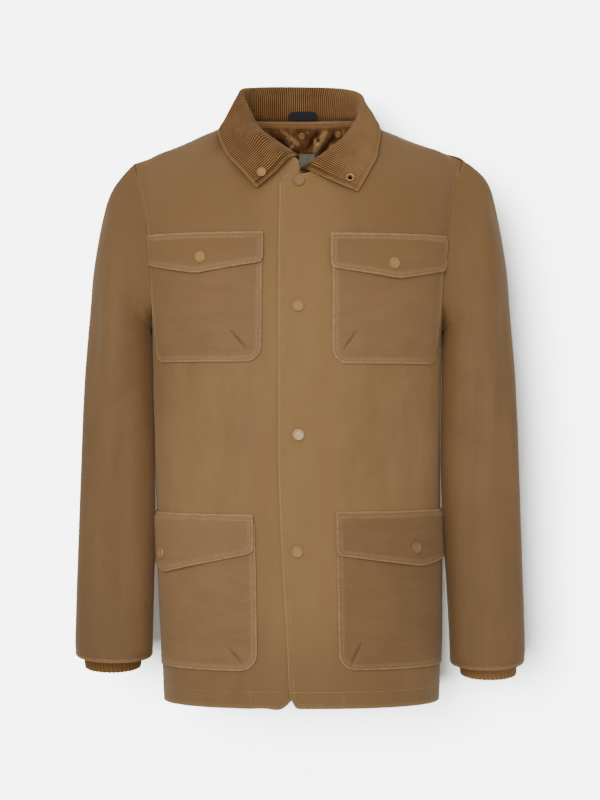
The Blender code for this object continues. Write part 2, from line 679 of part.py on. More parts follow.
def add_sleeve(name, grid, side, edge_normals):
    """The sleeve's wall. Where it carries on from a panel, it takes the panel's normals."""
    points = grid.reshape(-1, 3)
    faces = tube_faces(grid.shape[0], grid.shape[1], side == LEFT)
    normals = normals_of(points, faces)
    own = normals[-len(edge_normals) :]
    alike = np.clip((own * edge_normals).sum(axis=1, keepdims=True), 0.0, 1.0)
    shared = own * (1.0 - alike) + edge_normals * alike
    normals[-len(edge_normals) :] = shared / np.linalg.norm(shared, axis=1, keepdims=True)
    return add_wall(name, points, points - normals * SLEEVE_WALL, faces, "waxed cloth")


# ---- ribbed pieces ----


def add_ribbed(name, outer, inner, loop, flip, material):
    """A wall whose ribbed side has more columns than its plain side, which spans them evenly."""
    rows, fine = outer.shape[:2]
    plain = inner.shape[1]
    step = fine // plain if loop else (fine - 1) // (plain - 1)
    fine_cells = fine if loop else fine - 1
    plain_cells = plain if loop else plain - 1
    offset = rows * fine

    def out_at(i, j):
        return i * fine + j % fine

    def in_at(i, j):
        return offset + i * plain + j % plain

    faces = []
    for i in range(rows - 1):
        for j in range(fine_cells):
            faces.append((out_at(i, j), out_at(i, j + 1), out_at(i + 1, j + 1), out_at(i + 1, j)))
        for j in range(plain_cells):
            faces.append((in_at(i, j), in_at(i + 1, j), in_at(i + 1, j + 1), in_at(i, j + 1)))
        if not loop:
            faces.append((out_at(i, 0), out_at(i + 1, 0), in_at(i + 1, 0), in_at(i, 0)))
            last, end = fine - 1, plain - 1
            faces.append((out_at(i + 1, last), out_at(i, last), in_at(i, end), in_at(i + 1, end)))
    for j in range(plain_cells):
        low = [out_at(0, j * step + k) for k in range(step, -1, -1)]
        faces.append((*low, in_at(0, j), in_at(0, j + 1)))
        high = [out_at(rows - 1, j * step + k) for k in range(step + 1)]
        faces.append((*high, in_at(rows - 1, j + 1), in_at(rows - 1, j)))
    if flip:
        faces = [face[::-1] for face in faces]
    points = np.concatenate([outer.reshape(-1, 3), inner.reshape(-1, 3)])
    return add_object(name, points, faces, material)


def add_cuff(name, side, sleeve):
    """A rib cuff: it flares to the sleeve's inside above, and hangs below its hem."""
    lows, highs = sleeve.min(axis=1), sleeve.max(axis=1)
    centres, sizes = (lows + highs) / 2.0, highs - lows - 2.0 * (SLEEVE_WALL + CUFF_GAP)
    hem_z = centres[0, 2]
    across = [float(np.interp(hem_z + CUFF_TOP, centres[:, 2], sizes[:, a])) for a in (0, 1)]
    columns = CUFF_RIBS * 2
    rings = {True: [], False: []}
    for z, width, depth in ((CUFF_TOP, *across), *CUFF):
        centre = [np.interp(hem_z + z, centres[:, 2], centres[:, a]) for a in (0, 1)]
        if z < CUFF_TOP:
            centre[0] += side * CUFF_OFFSET
        for ribbed in rings:
            count = columns if ribbed else CUFF_PLAIN
            angle = np.arange(count) * 2.0 * math.pi / count
            inset = 0.0 if ribbed else CUFF_WALL
            relief = np.where(np.arange(count) % 2 == 0, 0.0, -CUFF_RIB) if ribbed else 0.0
            x = centre[0] + (width / 2.0 - inset + relief) * np.cos(angle)
            y = centre[1] + (depth / 2.0 - inset + relief) * np.sin(angle)
            height = np.full(count, hem_z + z) + LIP_TILT * (y - centre[1])
            rings[ribbed].append(np.stack([x, y, height], axis=1))
    outer, inner = np.array(rings[True]), np.array(rings[False])
    return add_ribbed(name, outer, inner, True, True, "rib knit")


# ---- the collar ----


def neckline(fronts, back):
    """The panels' own neck points from the right front's middle round to the left one's."""
    first = SIDE_CELLS + SHOULDER_CELLS
    last = first + NECK_CELLS + 1
    right = fronts[RIGHT].points[-1, first : last + 1][::-1]
    left = fronts[LEFT].points[-1, first : last + 1]
    behind = back.points[-1, SHOULDER_CELLS : SHOULDER_CELLS + 2 * NECK_CELLS + 1]
    start, end = right[0].copy(), left[-1].copy()
    start[0], end[0] = NECK_END[RIGHT], NECK_END[LEFT]
    right = np.concatenate([[start], right])
    left = np.concatenate([left, [end]])
    parts, places = [], []
    for line, (start, end) in zip((right, behind, left), COLLAR_STATIONS):
        run = lengths_along(line)
        parts.append(line)
        places.append(start + (end - start) * run / run[-1])
    return np.concatenate(places), np.concatenate(parts)


def collar_surface(along, seam_places, seam_points, leaned_on):
    """The wale side of the collar: from the seam up the stand, over the roll, down the leaf."""
    seam = np.stack([np.interp(along, seam_places, seam_points[:, a]) for a in range(3)], axis=1)
    stations = [row[0] for row in COLLAR]
    roll = smooth_through(stations, [row[1] for row in COLLAR], along)
    leaf = smooth_through(stations, [row[2] for row in COLLAR], along)
    tangent = np.gradient(roll, along, axis=0)
    tangent /= np.linalg.norm(tangent, axis=1, keepdims=True)
    rise = roll - seam
    rise -= tangent * (rise * tangent).sum(axis=1, keepdims=True)
    height = np.linalg.norm(rise, axis=1, keepdims=True)
    rise /= height
    out = np.cross(rise, tangent)
    foot = seam + rise * SEAM_FOOT - out * (COLLAR_WALL + FOOT_BACK)
    radius = np.minimum(ROLL_RADIUS, height * ROLL_SHARE)
    inside = roll - rise * radius - out * radius
    outside = roll - rise * radius + out * radius
    corner = radius * (1.0 - math.sqrt(0.5))
    before = roll - rise * corner - out * radius * math.sqrt(0.5)
    after = roll - rise * corner + out * radius * math.sqrt(0.5)
    middle = (outside + leaf) / 2.0 + out * LEAF_BULGE
    rows = [foot, inside, before, roll, after, outside, middle, leaf]
    for row in rows[5:]:
        lean_clear(row, leaned_on, COLLAR_WALL + WALE + LEAF_CLEAR)
    return np.array(rows)


def lean_clear(points, trees, clear):
    """Moves points that are nearer than this to the cloth below them out from it."""
    for number, point in enumerate(points):
        near = [tree.find_nearest(Vector(point)) for tree in trees]
        spot, normal, _, _ = min(near, key=lambda found: found[3])
        gap = (Vector(point) - spot).dot(normal)
        if gap < clear:
            points[number] = points[number] + np.array(normal) * (clear - gap)


def surface_tree(points, faces):
    return BVHTree.FromPolygons([tuple(p) for p in points], [tuple(map(int, f)) for f in faces])


def add_collar(name, fronts, back):
    """The folded collar, ribbed along the wales on the side that shows."""
    trees = []
    for panel, flip in ((fronts[RIGHT], RIGHT), (fronts[LEFT], LEFT), (back, LEFT)):
        points, faces, _ = panel_surface(panel, flip)
        trees.append(surface_tree(points, faces))
    places, seam = neckline(fronts, back)
    columns = COLLAR_WALES * 2 + 1
    along = np.linspace(0.0, 1.0, columns)
    smooth = collar_surface(along, places, seam, trees)
    rows = len(smooth)
    faces = [
        (i * columns + j, i * columns + j + 1, (i + 1) * columns + j + 1, (i + 1) * columns + j)
        for i in range(rows - 1)
        for j in range(columns - 1)
    ]
    normals = normals_of(smooth.reshape(-1, 3), faces).reshape(smooth.shape)
    step = 2 * WALES_PER_PLAIN
    inner = smooth[:, ::step] - normals[:, ::step] * COLLAR_WALL
    relief = np.where(np.arange(columns) % 2 == 1, WALE, 0.0)
    outer = smooth + normals * relief[None, :, None]
    return add_ribbed(name, outer, inner, False, False, "corduroy")


# ---- what lies on the panels ----


def clip(corners, keep):
    """The part of a polygon where keep, a function of a corner's flat place, isn't negative."""
    found = []
    for k, corner in enumerate(corners):
        following = corners[(k + 1) % len(corners)]
        here, there = keep(corner), keep(following)
        if here >= 0.0:
            found.append(corner)
        if (here >= 0.0) != (there >= 0.0):
            found.append(corner + (following - corner) * (here / (here - there)))
    return found


def half_plane(start, end):
    """Positive on the left of the line from start to end, in the flat pattern."""
    across = np.array((start[1] - end[1], end[0] - start[0]))
    across /= np.linalg.norm(across)
    return lambda corner: float((corner[:2] - start) @ across)


def twist(corners):
    """How far the fourth corner of a cell lies off the plane of the others, in millimetres."""
    normal = np.cross(corners[1] - corners[0], corners[2] - corners[0])
    return abs(float((corners[3] - corners[0]) @ normal)) / np.linalg.norm(normal)


def cut_from(panel, side, outline, split_below=()):
    """Cuts a convex outline out of a panel's surface: flat places, points, normals and faces."""
    points, faces, normals = panel_surface(panel, side)
    flat = np.nan_to_num(panel.flat.reshape(-1, 2), nan=1e6)
    full = np.concatenate([flat, points, normals], axis=1)
    sides = [
        half_plane(np.array(outline[k]), np.array(outline[(k + 1) % len(outline)]))
        for k in range(len(outline))
    ]
    found, numbers, pieces = [], {}, []
    for face in faces:
        bits = [[full[corner] for corner in face]]
        if twist(points[list(face)]) > FLAT_ENOUGH:
            bits = [bits[0][:3], [bits[0][0], *bits[0][2:]]]
        for keep in sides:
            bits = [clip(bit, keep) for bit in bits]
        for height in split_below:
            above = [clip(bit, lambda corner: corner[1] - height) for bit in bits]
            below = [clip(bit, lambda corner: height - corner[1]) for bit in bits]
            bits = [bit for bit in above + below if len(bit) >= 3]
        for bit in bits:
            if len(bit) < 3:
                continue
            ring = []
            for corner in bit:
                key = tuple(np.round(corner[2:5] * 50.0).astype(int))
                if key not in numbers:
                    numbers[key] = len(found)
                    found.append(corner)
                if numbers[key] not in ring:
                    ring.append(numbers[key])
            if len(ring) >= 3:
                pieces.append(tuple(ring))
    found = np.array(found)
    normal = found[:, 5:8] / np.linalg.norm(found[:, 5:8], axis=1, keepdims=True)
    return found[:, :2], found[:, 2:5], normal, pieces


def arc(middle, radius, start, end, steps):
    """Points of an arc, from one angle in degrees to another."""
    angles = np.radians(np.linspace(start, end, steps + 1))
    return [(middle[0] + radius * math.cos(a), middle[1] + radius * math.sin(a)) for a in angles]


def bag_outline(inner, outer, top, bottom, radius):
    """A patch pocket: straight above, with rounded corners below."""
    corners = [(outer, top), (inner, top)]
    corners += arc((inner + radius, bottom + radius), radius, 180.0, 270.0, 3)
    corners += arc((outer - radius, bottom + radius), radius, 270.0, 360.0, 3)
    return corners


def flap_outline(inner, outer, top, side, point_along, point_z):
    """A flap: straight sides, then two slopes that meet at its point, with eased corners."""
    corners = [(outer, top), (inner, top)]
    for corner, other in (((inner, side), (point_along, point_z)), ((outer, side), None)):
        away = np.array((point_along, point_z)) - corner
        away *= FLAP_CORNER / np.linalg.norm(away)
        above = (corner[0], corner[1] + FLAP_CORNER)
        between = (np.array(above) + corner + corner + away + corner) / 4.0
        eased = [above, tuple(between), tuple(np.array(corner) + away)]
        if other is None:
            corners += eased[::-1]
        else:
            corners += eased
            toward = np.array((point_along, point_z))
            corners += [(point_along - 5.0, point_z + 0.9), (point_along + 5.0, point_z + 0.9)]
    return corners


def bag_lift(flat, inner, outer, top, bottom, radius):
    """How far a pocket's cloth stands off the front: nothing at its sewn edges."""
    across = np.clip((flat[:, 0] - inner) / (outer - inner), 0.0, 1.0) * 2.0 - 1.0
    down = np.clip((flat[:, 1] - bottom) / (top - bottom), 0.0, 1.0)
    rise = np.sin(np.pi * np.minimum(down * 0.62, 0.5))
    return BAG_BULGE * (1.0 - across**2) * rise


def add_bag(name, side, sizes, fronts):
    flat, points, normals, faces = cut_from(fronts[side], side, bag_outline(*sizes))
    lift = LAY_GAP + bag_lift(flat, *sizes)
    inner = points + normals * lift[:, None]
    outer = inner + normals * BAG_WALL
    return add_wall(name, outer, inner, faces, "waxed cloth")


def add_flap(name, side, sizes, bag, fronts):
    """A flap, which steps up from the front over the top of its pocket."""
    values = dict(zip(FLAP_COLUMNS, sizes))
    top = values["top"]
    splits = (top - FLAP_STEP / 2.0, top - FLAP_STEP)
    flat, points, normals, faces = cut_from(fronts[side], side, flap_outline(*sizes), splits)
    under = BAG_WALL + FLAP_GAP + bag_lift(flat, *bag)
    over = ease((top - flat[:, 1]) / FLAP_STEP)
    inner = points + normals * (LAY_GAP + under * over)[:, None]
    outer = inner + normals * FLAP_WALL
    return add_wall(name, outer, inner, faces, "waxed cloth")


def seat(piece, x, z, start_y, heading):
    """Where a line level with the ground meets a piece, and the piece's normal there."""
    mesh = piece.data
    tree = BVHTree.FromPolygons(
        [tuple(vertex.co) for vertex in mesh.vertices], [tuple(p.vertices) for p in mesh.polygons]
    )
    start = Vector((x, start_y, z)) * MM
    spot, normal, _, _ = tree.ray_cast(start, Vector((0.0, heading, 0.0)))
    if spot is None:
        raise ValueError(f"nothing of {piece.name} lies at x {x}, z {z}")
    return np.array(spot) / MM, np.array(normal)


def steady_normal(piece, x, z, start_y, heading, reach):
    """The normal that a stiff disc takes: the average over the cloth under it."""
    spots = []
    total = np.zeros(3)
    for shift_x, shift_z in ((0.0, 0.0), (reach, 0.0), (-reach, 0.0), (0.0, reach), (0.0, -reach)):
        try:
            spot, normal = seat(piece, x + shift_x, z + shift_z, start_y, heading)
        except ValueError:
            continue
        spots.append(spot)
        total += normal
    normal = total / np.linalg.norm(total)
    middle, _ = seat(piece, x, z, start_y, heading)
    lift = max(0.0, max(float((spot - middle) @ normal) for spot in spots))
    return middle, normal, lift


def add_turned(name, profile, sides, place, axis, material):
    """A solid turned about its own Z axis from a profile of (radius, height), then seated."""
    points = [np.array((radius, 0.0, height)) for radius, height in profile]
    joins = [(k, k + 1) for k in range(len(profile) - 1)]
    if profile[0][0] > 0.0:
        joins.append((len(profile) - 1, 0))
    made = add_object(name, points, [], material, joins)
    turn = made.modifiers.new("turn", "SCREW")
    turn.axis = "Z"
    turn.steps = turn.render_steps = sides
    turn.use_merge_vertices = True
    turn.merge_threshold = 1e-5
    turn.use_smooth_shade = False
    turn.use_normal_flip = True
    made.location = Vector(place) * MM
    made.rotation_euler = Vector(axis).to_track_quat("Z", "Y").to_euler()
    return made


def add_snap(name, piece, x, z, width, start_y, heading, material, height):
    middle, normal, lift = steady_normal(piece, x, z, start_y, heading, width * 0.42)
    if piece.name == "collar":
        lift += WALE
    radius = width / 2.0
    profile = [(radius * share, height * rise) for share, rise in SNAP_PROFILE]
    return add_turned(name, profile, SNAP_SIDES, middle + normal * (lift + SNAP_GAP), normal, material)


def add_eyelet(name, piece, x, z):
    """The ring on the left leaf: a flat ring with a hole for the other half of the snap."""
    middle, normal, lift = steady_normal(piece, x, z, -400.0, 1.0, EYELET_WIDTH * 0.42)
    outside, hole = EYELET_WIDTH / 2.0, EYELET_HOLE / 2.0
    low, high = EYELET_HEIGHT * 0.7, EYELET_HEIGHT
    profile = ((hole, 0.0), (outside, 0.0), (outside - 0.1, low), (hole + 1.0, high), (hole, low))
    place = middle + normal * (lift + SNAP_GAP + WALE)
    return add_turned(name, profile, EYELET_SIDES, place, normal, "snap metal")


def add_inside(name, back, outline, near, wall, material):
    """A piece against the inside of the back, this near to its outer face."""
    _, points, normals, faces = cut_from(back, LEFT, outline)
    outer = points - normals * near
    return add_wall(name, outer, outer - normals * wall, faces, material)


def add_loop(name):
    """The locker loop: a short tape that stands against the inside of the collar."""
    across = np.linspace(-1.0, 1.0, 9)
    rows = []
    for share, narrower in LOOP_ROWS:
        x = LOOP_MIDDLE + across * LOOP_WIDTH / 2.0 * (1.0 - narrower)
        z = LOOP_FOOT + LOOP_HEIGHT * share - LOOP_CORNER * share * across**4
        y = LOOP_DEPTH - x**2 / (2.0 * LOOP_CURVE) - LOOP_BULGE * (1.0 - across**2)
        rows.append(np.stack([x, y, z], axis=1))
    grid = np.array(rows)
    count = len(across)
    faces = [
        (i * count + j, i * count + j + 1, (i + 1) * count + j + 1, (i + 1) * count + j)
        for i in range(len(rows) - 1)
        for j in range(count - 1)
    ]
    points = grid.reshape(-1, 3)
    normals = normals_of(points, faces)
    return add_wall(name, points, points - normals * LOOP_WALL, faces, "tape")


for old in list(bpy.data.objects):
    bpy.data.objects.remove(old, do_unlink=True)
coat = bpy.data.collections.new("waxed_coat")
bpy.context.scene.collection.children.link(coat)

fronts = {side: build_front(side) for side in (RIGHT, LEFT)}
back = build_back(fronts)
share_normals(fronts, back)
made = {
    "front_right": add_panel("front_right", fronts[RIGHT], RIGHT),
    "front_left": add_panel("front_left", fronts[LEFT], LEFT),
    "back": add_panel("back", back, LEFT),
}
for side, word in ((RIGHT, "right"), (LEFT, "left")):
    sleeve = build_sleeve(side, fronts, back)
    edge_normals = armhole_edge(side, fronts[side].normals, back.normals)
    made["sleeve_" + word] = add_sleeve("sleeve_" + word, sleeve, side, edge_normals)
    made["cuff_" + word] = add_cuff("cuff_" + word, side, sleeve)
made["collar"] = add_collar("collar", fronts, back)
for name, (side, sizes) in BAGS.items():
    made[name] = add_bag(name, side, sizes, fronts)
for name, (side, sizes) in FLAPS.items():
    bag = BAGS[name.replace("flap", "pocket")][1]
    made[name] = add_flap(name, side, sizes, bag, fronts)
lining_outline = [
    (-LINING_HALF, 60.0),
    (-LINING_HALF, LINING_BOTTOM),
    (LINING_HALF, LINING_BOTTOM),
    (LINING_HALF, 60.0),
]
made["lining"] = add_inside(
    "lining", back, lining_outline, SHELL_WALL + LINING_GAP, LINING_WALL, "satin lining"
)
label_outline = [
    (LABEL_MIDDLE - LABEL_WIDTH / 2.0, LABEL_TOP),
    (LABEL_MIDDLE - LABEL_WIDTH / 2.0, LABEL_BOTTOM),
    (LABEL_MIDDLE + LABEL_WIDTH / 2.0, LABEL_BOTTOM),
    (LABEL_MIDDLE + LABEL_WIDTH / 2.0, LABEL_TOP),
]
label_near = SHELL_WALL + LINING_GAP + LINING_WALL + 0.4
made["label"] = add_inside("label", back, label_outline, label_near, LABEL_WALL, "label")
made["locker_loop"] = add_loop("locker_loop")
for name, (piece, x, z, width) in SNAPS.items():
    add_snap(name, made[piece], x, z, width, -400.0, 1.0, "snap enamel", SNAP_HEIGHT)
for name, (x, z) in LINING_SNAPS.items():
    add_snap(name, made["lining"], x, z, LINING_SNAP_WIDTH, 0.0, 1.0, "snap enamel", 1.8)
add_eyelet("eyelet_collar", made["collar"], *EYELET_AT)
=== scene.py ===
# %% [markdown]
# # Dressing a waxed field coat
# The coat's solids give every piece its place and its main form, but their cloth is flat between
# a few hundred points. This lesson turns each solid into thin, soft cloth, sews it with real
# stitches, and gives each material its own finish. Front is -Y, up is +Z, lengths are metres.

# %% Load the solids
import math

import bmesh
import bpy
import numpy as np
from mathutils import Matrix, Vector
from mathutils.bvhtree import BVHTree
from mathutils.kdtree import KDTree


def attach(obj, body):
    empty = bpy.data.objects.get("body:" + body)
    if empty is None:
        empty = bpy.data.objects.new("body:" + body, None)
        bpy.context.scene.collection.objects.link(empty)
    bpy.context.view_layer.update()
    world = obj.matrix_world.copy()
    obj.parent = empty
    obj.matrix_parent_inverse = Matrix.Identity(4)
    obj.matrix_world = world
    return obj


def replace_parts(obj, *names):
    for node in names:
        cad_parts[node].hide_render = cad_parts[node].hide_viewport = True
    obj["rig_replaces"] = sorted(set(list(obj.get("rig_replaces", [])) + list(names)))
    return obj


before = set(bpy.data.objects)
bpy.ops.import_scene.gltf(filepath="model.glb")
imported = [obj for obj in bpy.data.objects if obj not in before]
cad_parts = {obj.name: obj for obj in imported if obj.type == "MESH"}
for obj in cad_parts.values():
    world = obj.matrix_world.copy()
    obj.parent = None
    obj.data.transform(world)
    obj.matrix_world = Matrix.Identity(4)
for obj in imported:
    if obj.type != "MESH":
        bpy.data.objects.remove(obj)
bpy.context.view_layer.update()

MM = 0.001
RIGHT, LEFT = -1, 1  # the wearer's sides, as signs of x
WORDS = {RIGHT: "right", LEFT: "left"}

# %% [markdown]
# ## The camera
# The picture is upright and was taken level with the coat's middle, from about three metres away.
# A camera that far off flattens the coat as the picture does. The lens follows from how much of
# the coat's middle plane one pixel covers.

# %% Place the camera
PIXEL = 1.30 * MM  # what one pixel covers at the coat's middle
PICTURE_TALL = 800
EYE = Vector((0.0, -3.2, -0.3497))
SENSOR = 36.0

camera_data = bpy.data.cameras.new("camera")
camera_data.sensor_width = SENSOR
camera_data.lens = SENSOR * -EYE.y / (PICTURE_TALL * PIXEL)
camera = bpy.data.objects.new("camera", camera_data)
camera.location = EYE
camera.rotation_euler = (math.pi / 2, 0.0, 0.0)
bpy.context.scene.collection.objects.link(camera)
bpy.context.scene.camera = camera
print("lens", round(camera_data.lens, 1), "mm")

# %% [markdown]
# ## From solid to cloth
# Each panel's solid is a wall with an outer face, an inner face and a narrow rim. Cloth is easier
# to shape as one surface that gets its thickness last, so this keeps only the outer face. The rim
# is what has edges as short as the wall is thick, and without it the two faces fall apart.

# %% Take the outer face of a solid
RIM_EDGE = 1.8 * MM  # an edge shorter than this crosses a wall


def islands(cloth):
    """The connected sets of faces."""
    left = set(cloth.faces)
    found = []
    while left:
        island, front = set(), [left.pop()]
        while front:
            face = front.pop()
            island.add(face)
            for edge in face.edges:
                for other in edge.link_faces:
                    if other in left:
                        left.discard(other)
                        front.append(other)
        found.append(island)
    return found


def one_face(node, way=None):
    """One face of a CAD wall, as quads: the outer one, or the one that looks along way."""
    cloth = bmesh.new()
    cloth.from_mesh(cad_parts[node].data)
    bmesh.ops.remove_doubles(cloth, verts=cloth.verts, dist=0.01 * MM)
    short = [edge for edge in cloth.edges if edge.calc_length() < RIM_EDGE]
    rim = list({face for edge in short for face in edge.link_faces})
    bmesh.ops.delete(cloth, geom=rim, context="FACES")

    def counts(face):
        """A face's area, or as much of it as looks along way."""
        return face.calc_area() * (face.normal.dot(way) if way else 1.0)

    sides = sorted(islands(cloth), key=lambda side: sum(counts(face) for face in side))
    rest = [face for side in sides[:-1] for face in side]
    bmesh.ops.delete(cloth, geom=rest, context="FACES")
    bmesh.ops.join_triangles(
        cloth, faces=cloth.faces, angle_face_threshold=math.pi, angle_shape_threshold=math.pi
    )
    return cloth


for node in ("front_left", "back", "sleeve_left"):
    trial = one_face(node)
    odd = sum(len(face.verts) == 3 for face in trial.faces)
    print(node, "has", len(trial.faces), "cells,", odd, "of them triangles")
    trial.free()

# %% [markdown]
# ## Rounding a cage without shrinking it
# Subdivision rounds a coarse cage, but it also pulls the cloth inside the cage's points. The
# seams between two panels would then no longer meet. So the cage is first pushed outwards, a
# little at a time, until the smooth surface passes through the places where its points began.

# %% Round a cage through its own points
FIT_STEPS = 6


def coordinates(mesh):
    points = np.empty(len(mesh.vertices) * 3)
    mesh.vertices.foreach_get("co", points)
    return points.reshape(-1, 3)


def set_coordinates(mesh, points):
    mesh.vertices.foreach_set("co", np.ascontiguousarray(points, np.float32).ravel())
    mesh.update()


def normals_of(mesh):
    normals = np.empty(len(mesh.vertices) * 3)
    mesh.vertex_normals.foreach_get("vector", normals)
    return normals.reshape(-1, 3)


def add_piece(name, mesh):
    piece = bpy.data.objects.new(name, mesh)
    bpy.context.scene.collection.objects.link(piece)
    return piece


def evaluated_mesh(piece):
    """The piece's mesh with its modifiers applied."""
    bpy.context.view_layer.update()
    graph = bpy.context.evaluated_depsgraph_get()
    return bpy.data.meshes.new_from_object(piece.evaluated_get(graph), depsgraph=graph)


def apply_modifiers(piece):
    mesh = evaluated_mesh(piece)
    old = piece.data
    piece.modifiers.clear()
    piece.data = mesh
    mesh.name = old.name
    bpy.data.meshes.remove(old)


def rounded(name, cage, levels):
    """A piece whose smooth surface passes through the cage's points."""
    mesh = bpy.data.meshes.new(name)
    cage.to_mesh(mesh)
    cage.free()
    piece = add_piece(name, mesh)
    wanted = coordinates(mesh)
    smooth = piece.modifiers.new("round", "SUBSURF")
    smooth.boundary_smooth = "PRESERVE_CORNERS"
    smooth.levels = smooth.render_levels = 1
    for _ in range(FIT_STEPS):
        trial = evaluated_mesh(piece)
        reached = coordinates(trial)[: len(wanted)]
        bpy.data.meshes.remove(trial)
        set_coordinates(mesh, coordinates(mesh) + wanted - reached)
    smooth.levels = smooth.render_levels = levels
    apply_modifiers(piece)
    piece.data.shade_smooth()
    return piece


print("each cage is fitted in", FIT_STEPS, "steps")

# %% [markdown]
# ## Folds
# Waxed cotton is stiff: it hangs almost smooth, in a few long, soft hollows, and wrinkles only
# where something pulls. Each fold here is a line with a depth and a width, placed on a pattern of
# the piece, and it fades to its ends. Near a seam all folds fade, because the seam holds the
# cloth. On the body a place is how far round the coat it lies and its height; on a sleeve it is
# how far round the arm. The first four of a sleeve are long ridges: an empty sleeve hangs a
# little flat, with soft edges. A simulation would not put the folds where the coat has them.

# %% Fold tables, in millimetres
BODY_RADIUS, ARM_RADIUS, ARM_MIDDLE = 150.0, 50.0, (240.0, -4.0)

# Columns: start (round, height), end (round, height), depth (outwards is positive), width.
BODY_FOLDS = (
    ((-28.0, -330.0), (-46.0, -700.0), -2.2, 17.0),
    ((-75.0, -300.0), (-92.0, -500.0), 1.3, 24.0),
    ((-140.0, -310.0), (-150.0, -500.0), -2.2, 18.0),
    ((38.0, -310.0), (52.0, -640.0), -2.1, 17.0),
    ((85.0, -310.0), (92.0, -490.0), 1.4, 26.0),
    ((150.0, -310.0), (142.0, -495.0), -2.3, 17.0),
    ((-205.0, -250.0), (-165.0, -330.0), -2.2, 11.0),
    ((-215.0, -262.0), (-190.0, -420.0), 1.6, 14.0),
    ((208.0, -248.0), (170.0, -322.0), -2.4, 11.0),
    ((214.0, -262.0), (192.0, -430.0), 1.6, 15.0),
    ((-150.0, -95.0), (-100.0, -135.0), -1.7, 13.0),
    ((150.0, -95.0), (96.0, -130.0), -1.5, 14.0),
    ((-35.0, -105.0), (-30.0, -260.0), -1.3, 13.0),
    ((32.0, -120.0), (28.0, -250.0), 1.0, 12.0),
    ((300.0, -180.0), (400.0, -230.0), -3.2, 14.0),
    ((290.0, -235.0), (420.0, -330.0), -3.8, 17.0),
    ((-305.0, -190.0), (-405.0, -245.0), -3.0, 14.0),
    ((-288.0, -240.0), (-415.0, -345.0), -3.6, 16.0),
    ((285.0, -215.0), (345.0, -262.0), -2.6, 8.0),
    ((-285.0, -222.0), (-340.0, -268.0), -2.5, 8.0),
    ((300.0, -262.0), (372.0, -318.0), -2.2, 9.0),
    ((-300.0, -270.0), (-365.0, -330.0), -2.2, 9.0),
    ((400.0, -350.0), (385.0, -690.0), -3.8, 22.0),
    ((-395.0, -380.0), (-372.0, -700.0), -3.4, 23.0),
    ((455.0, -430.0), (462.0, -720.0), 3.0, 24.0),
    ((-330.0, -430.0), (-318.0, -640.0), 2.6, 19.0),
    ((322.0, -400.0), (312.0, -660.0), 2.6, 19.0),
)
SLEEVE_FOLDS = {
    RIGHT: (
        ((118.0, -205.0), (118.0, -830.0), 6.0, 17.0),
        ((134.0, -190.0), (134.0, -600.0), 5.5, 13.0),
        ((38.0, -235.0), (38.0, -830.0), 4.6, 18.0),
        ((-40.0, -240.0), (-40.0, -830.0), 3.2, 19.0),
        ((58.0, -190.0), (50.0, -420.0), -3.0, 12.0),
        ((18.0, -250.0), (10.0, -560.0), -2.0, 13.0),
        ((92.0, -300.0), (84.0, -640.0), -2.8, 12.0),
        ((56.0, -440.0), (68.0, -650.0), 2.2, 12.0),
        ((110.0, -330.0), (60.0, -372.0), -1.5, 9.0),
        ((118.0, -372.0), (72.0, -398.0), 1.0, 8.0),
        ((-50.0, -220.0), (-38.0, -520.0), -2.0, 16.0),
        ((-100.0, -330.0), (-92.0, -650.0), -1.8, 15.0),
        ((-118.0, -340.0), (-60.0, -380.0), -2.2, 10.0),
        ((-110.0, -395.0), (-56.0, -420.0), -1.9, 9.0),
    ),
    LEFT: (
        ((117.0, -200.0), (117.0, -830.0), 6.0, 17.0),
        ((134.0, -190.0), (134.0, -595.0), 6.0, 13.0),
        ((37.0, -230.0), (37.0, -830.0), 4.6, 18.0),
        ((-41.0, -235.0), (-41.0, -830.0), 3.2, 19.0),
        ((60.0, -200.0), (52.0, -440.0), -2.8, 12.0),
        ((16.0, -230.0), (14.0, -590.0), -2.0, 13.0),
        ((94.0, -290.0), (86.0, -650.0), -2.6, 12.0),
        ((68.0, -460.0), (58.0, -660.0), 2.0, 12.0),
        ((112.0, -318.0), (66.0, -350.0), -1.4, 9.0),
        ((120.0, -388.0), (76.0, -420.0), -1.1, 9.0),
        ((-46.0, -230.0), (-44.0, -500.0), -2.1, 15.0),
        ((-98.0, -310.0), (-96.0, -640.0), -1.7, 16.0),
        ((-116.0, -352.0), (-58.0, -392.0), -2.3, 10.0),
        ((-108.0, -410.0), (-60.0, -440.0), -1.6, 9.0),
    ),
}
print(len(BODY_FOLDS), "folds on the body,", sum(map(len, SLEEVE_FOLDS.values())), "on the sleeves")

# %% [markdown]
# A fold is as deep as its table says on its line, and falls off to both sides like a soft bell.
# To read the folds at a point, the point is first looked up on the piece's pattern. A pattern
# that closes round the body or the arm is tried again a whole turn to each side, so that a fold
# may cross the line where the pattern was cut open.

# %% Read the folds at a place
OPEN = 9999.0  # the turn of a pattern that doesn't close, which lies past every fold


def smooth_step(values, start, end):
    """0 before start and 1 after end, with a smooth rise between them."""
    share = np.clip((values - start) / (end - start), 0.0, 1.0)
    return share * share * (3.0 - 2.0 * share)


def bell(distance, width):
    """1 at no distance, falling off smoothly over width to both sides."""
    return np.exp(-((distance / width) ** 2))


def distance_to_line(places, start, end):
    """The distance from each place to a stretch of line, and how far along the stretch it is."""
    start, along = np.array(start), np.array(end) - start
    share = np.clip(((places - start) @ along) / (along @ along), 0.0, 1.0)
    return np.linalg.norm(places - start - share[:, None] * along, axis=1), share


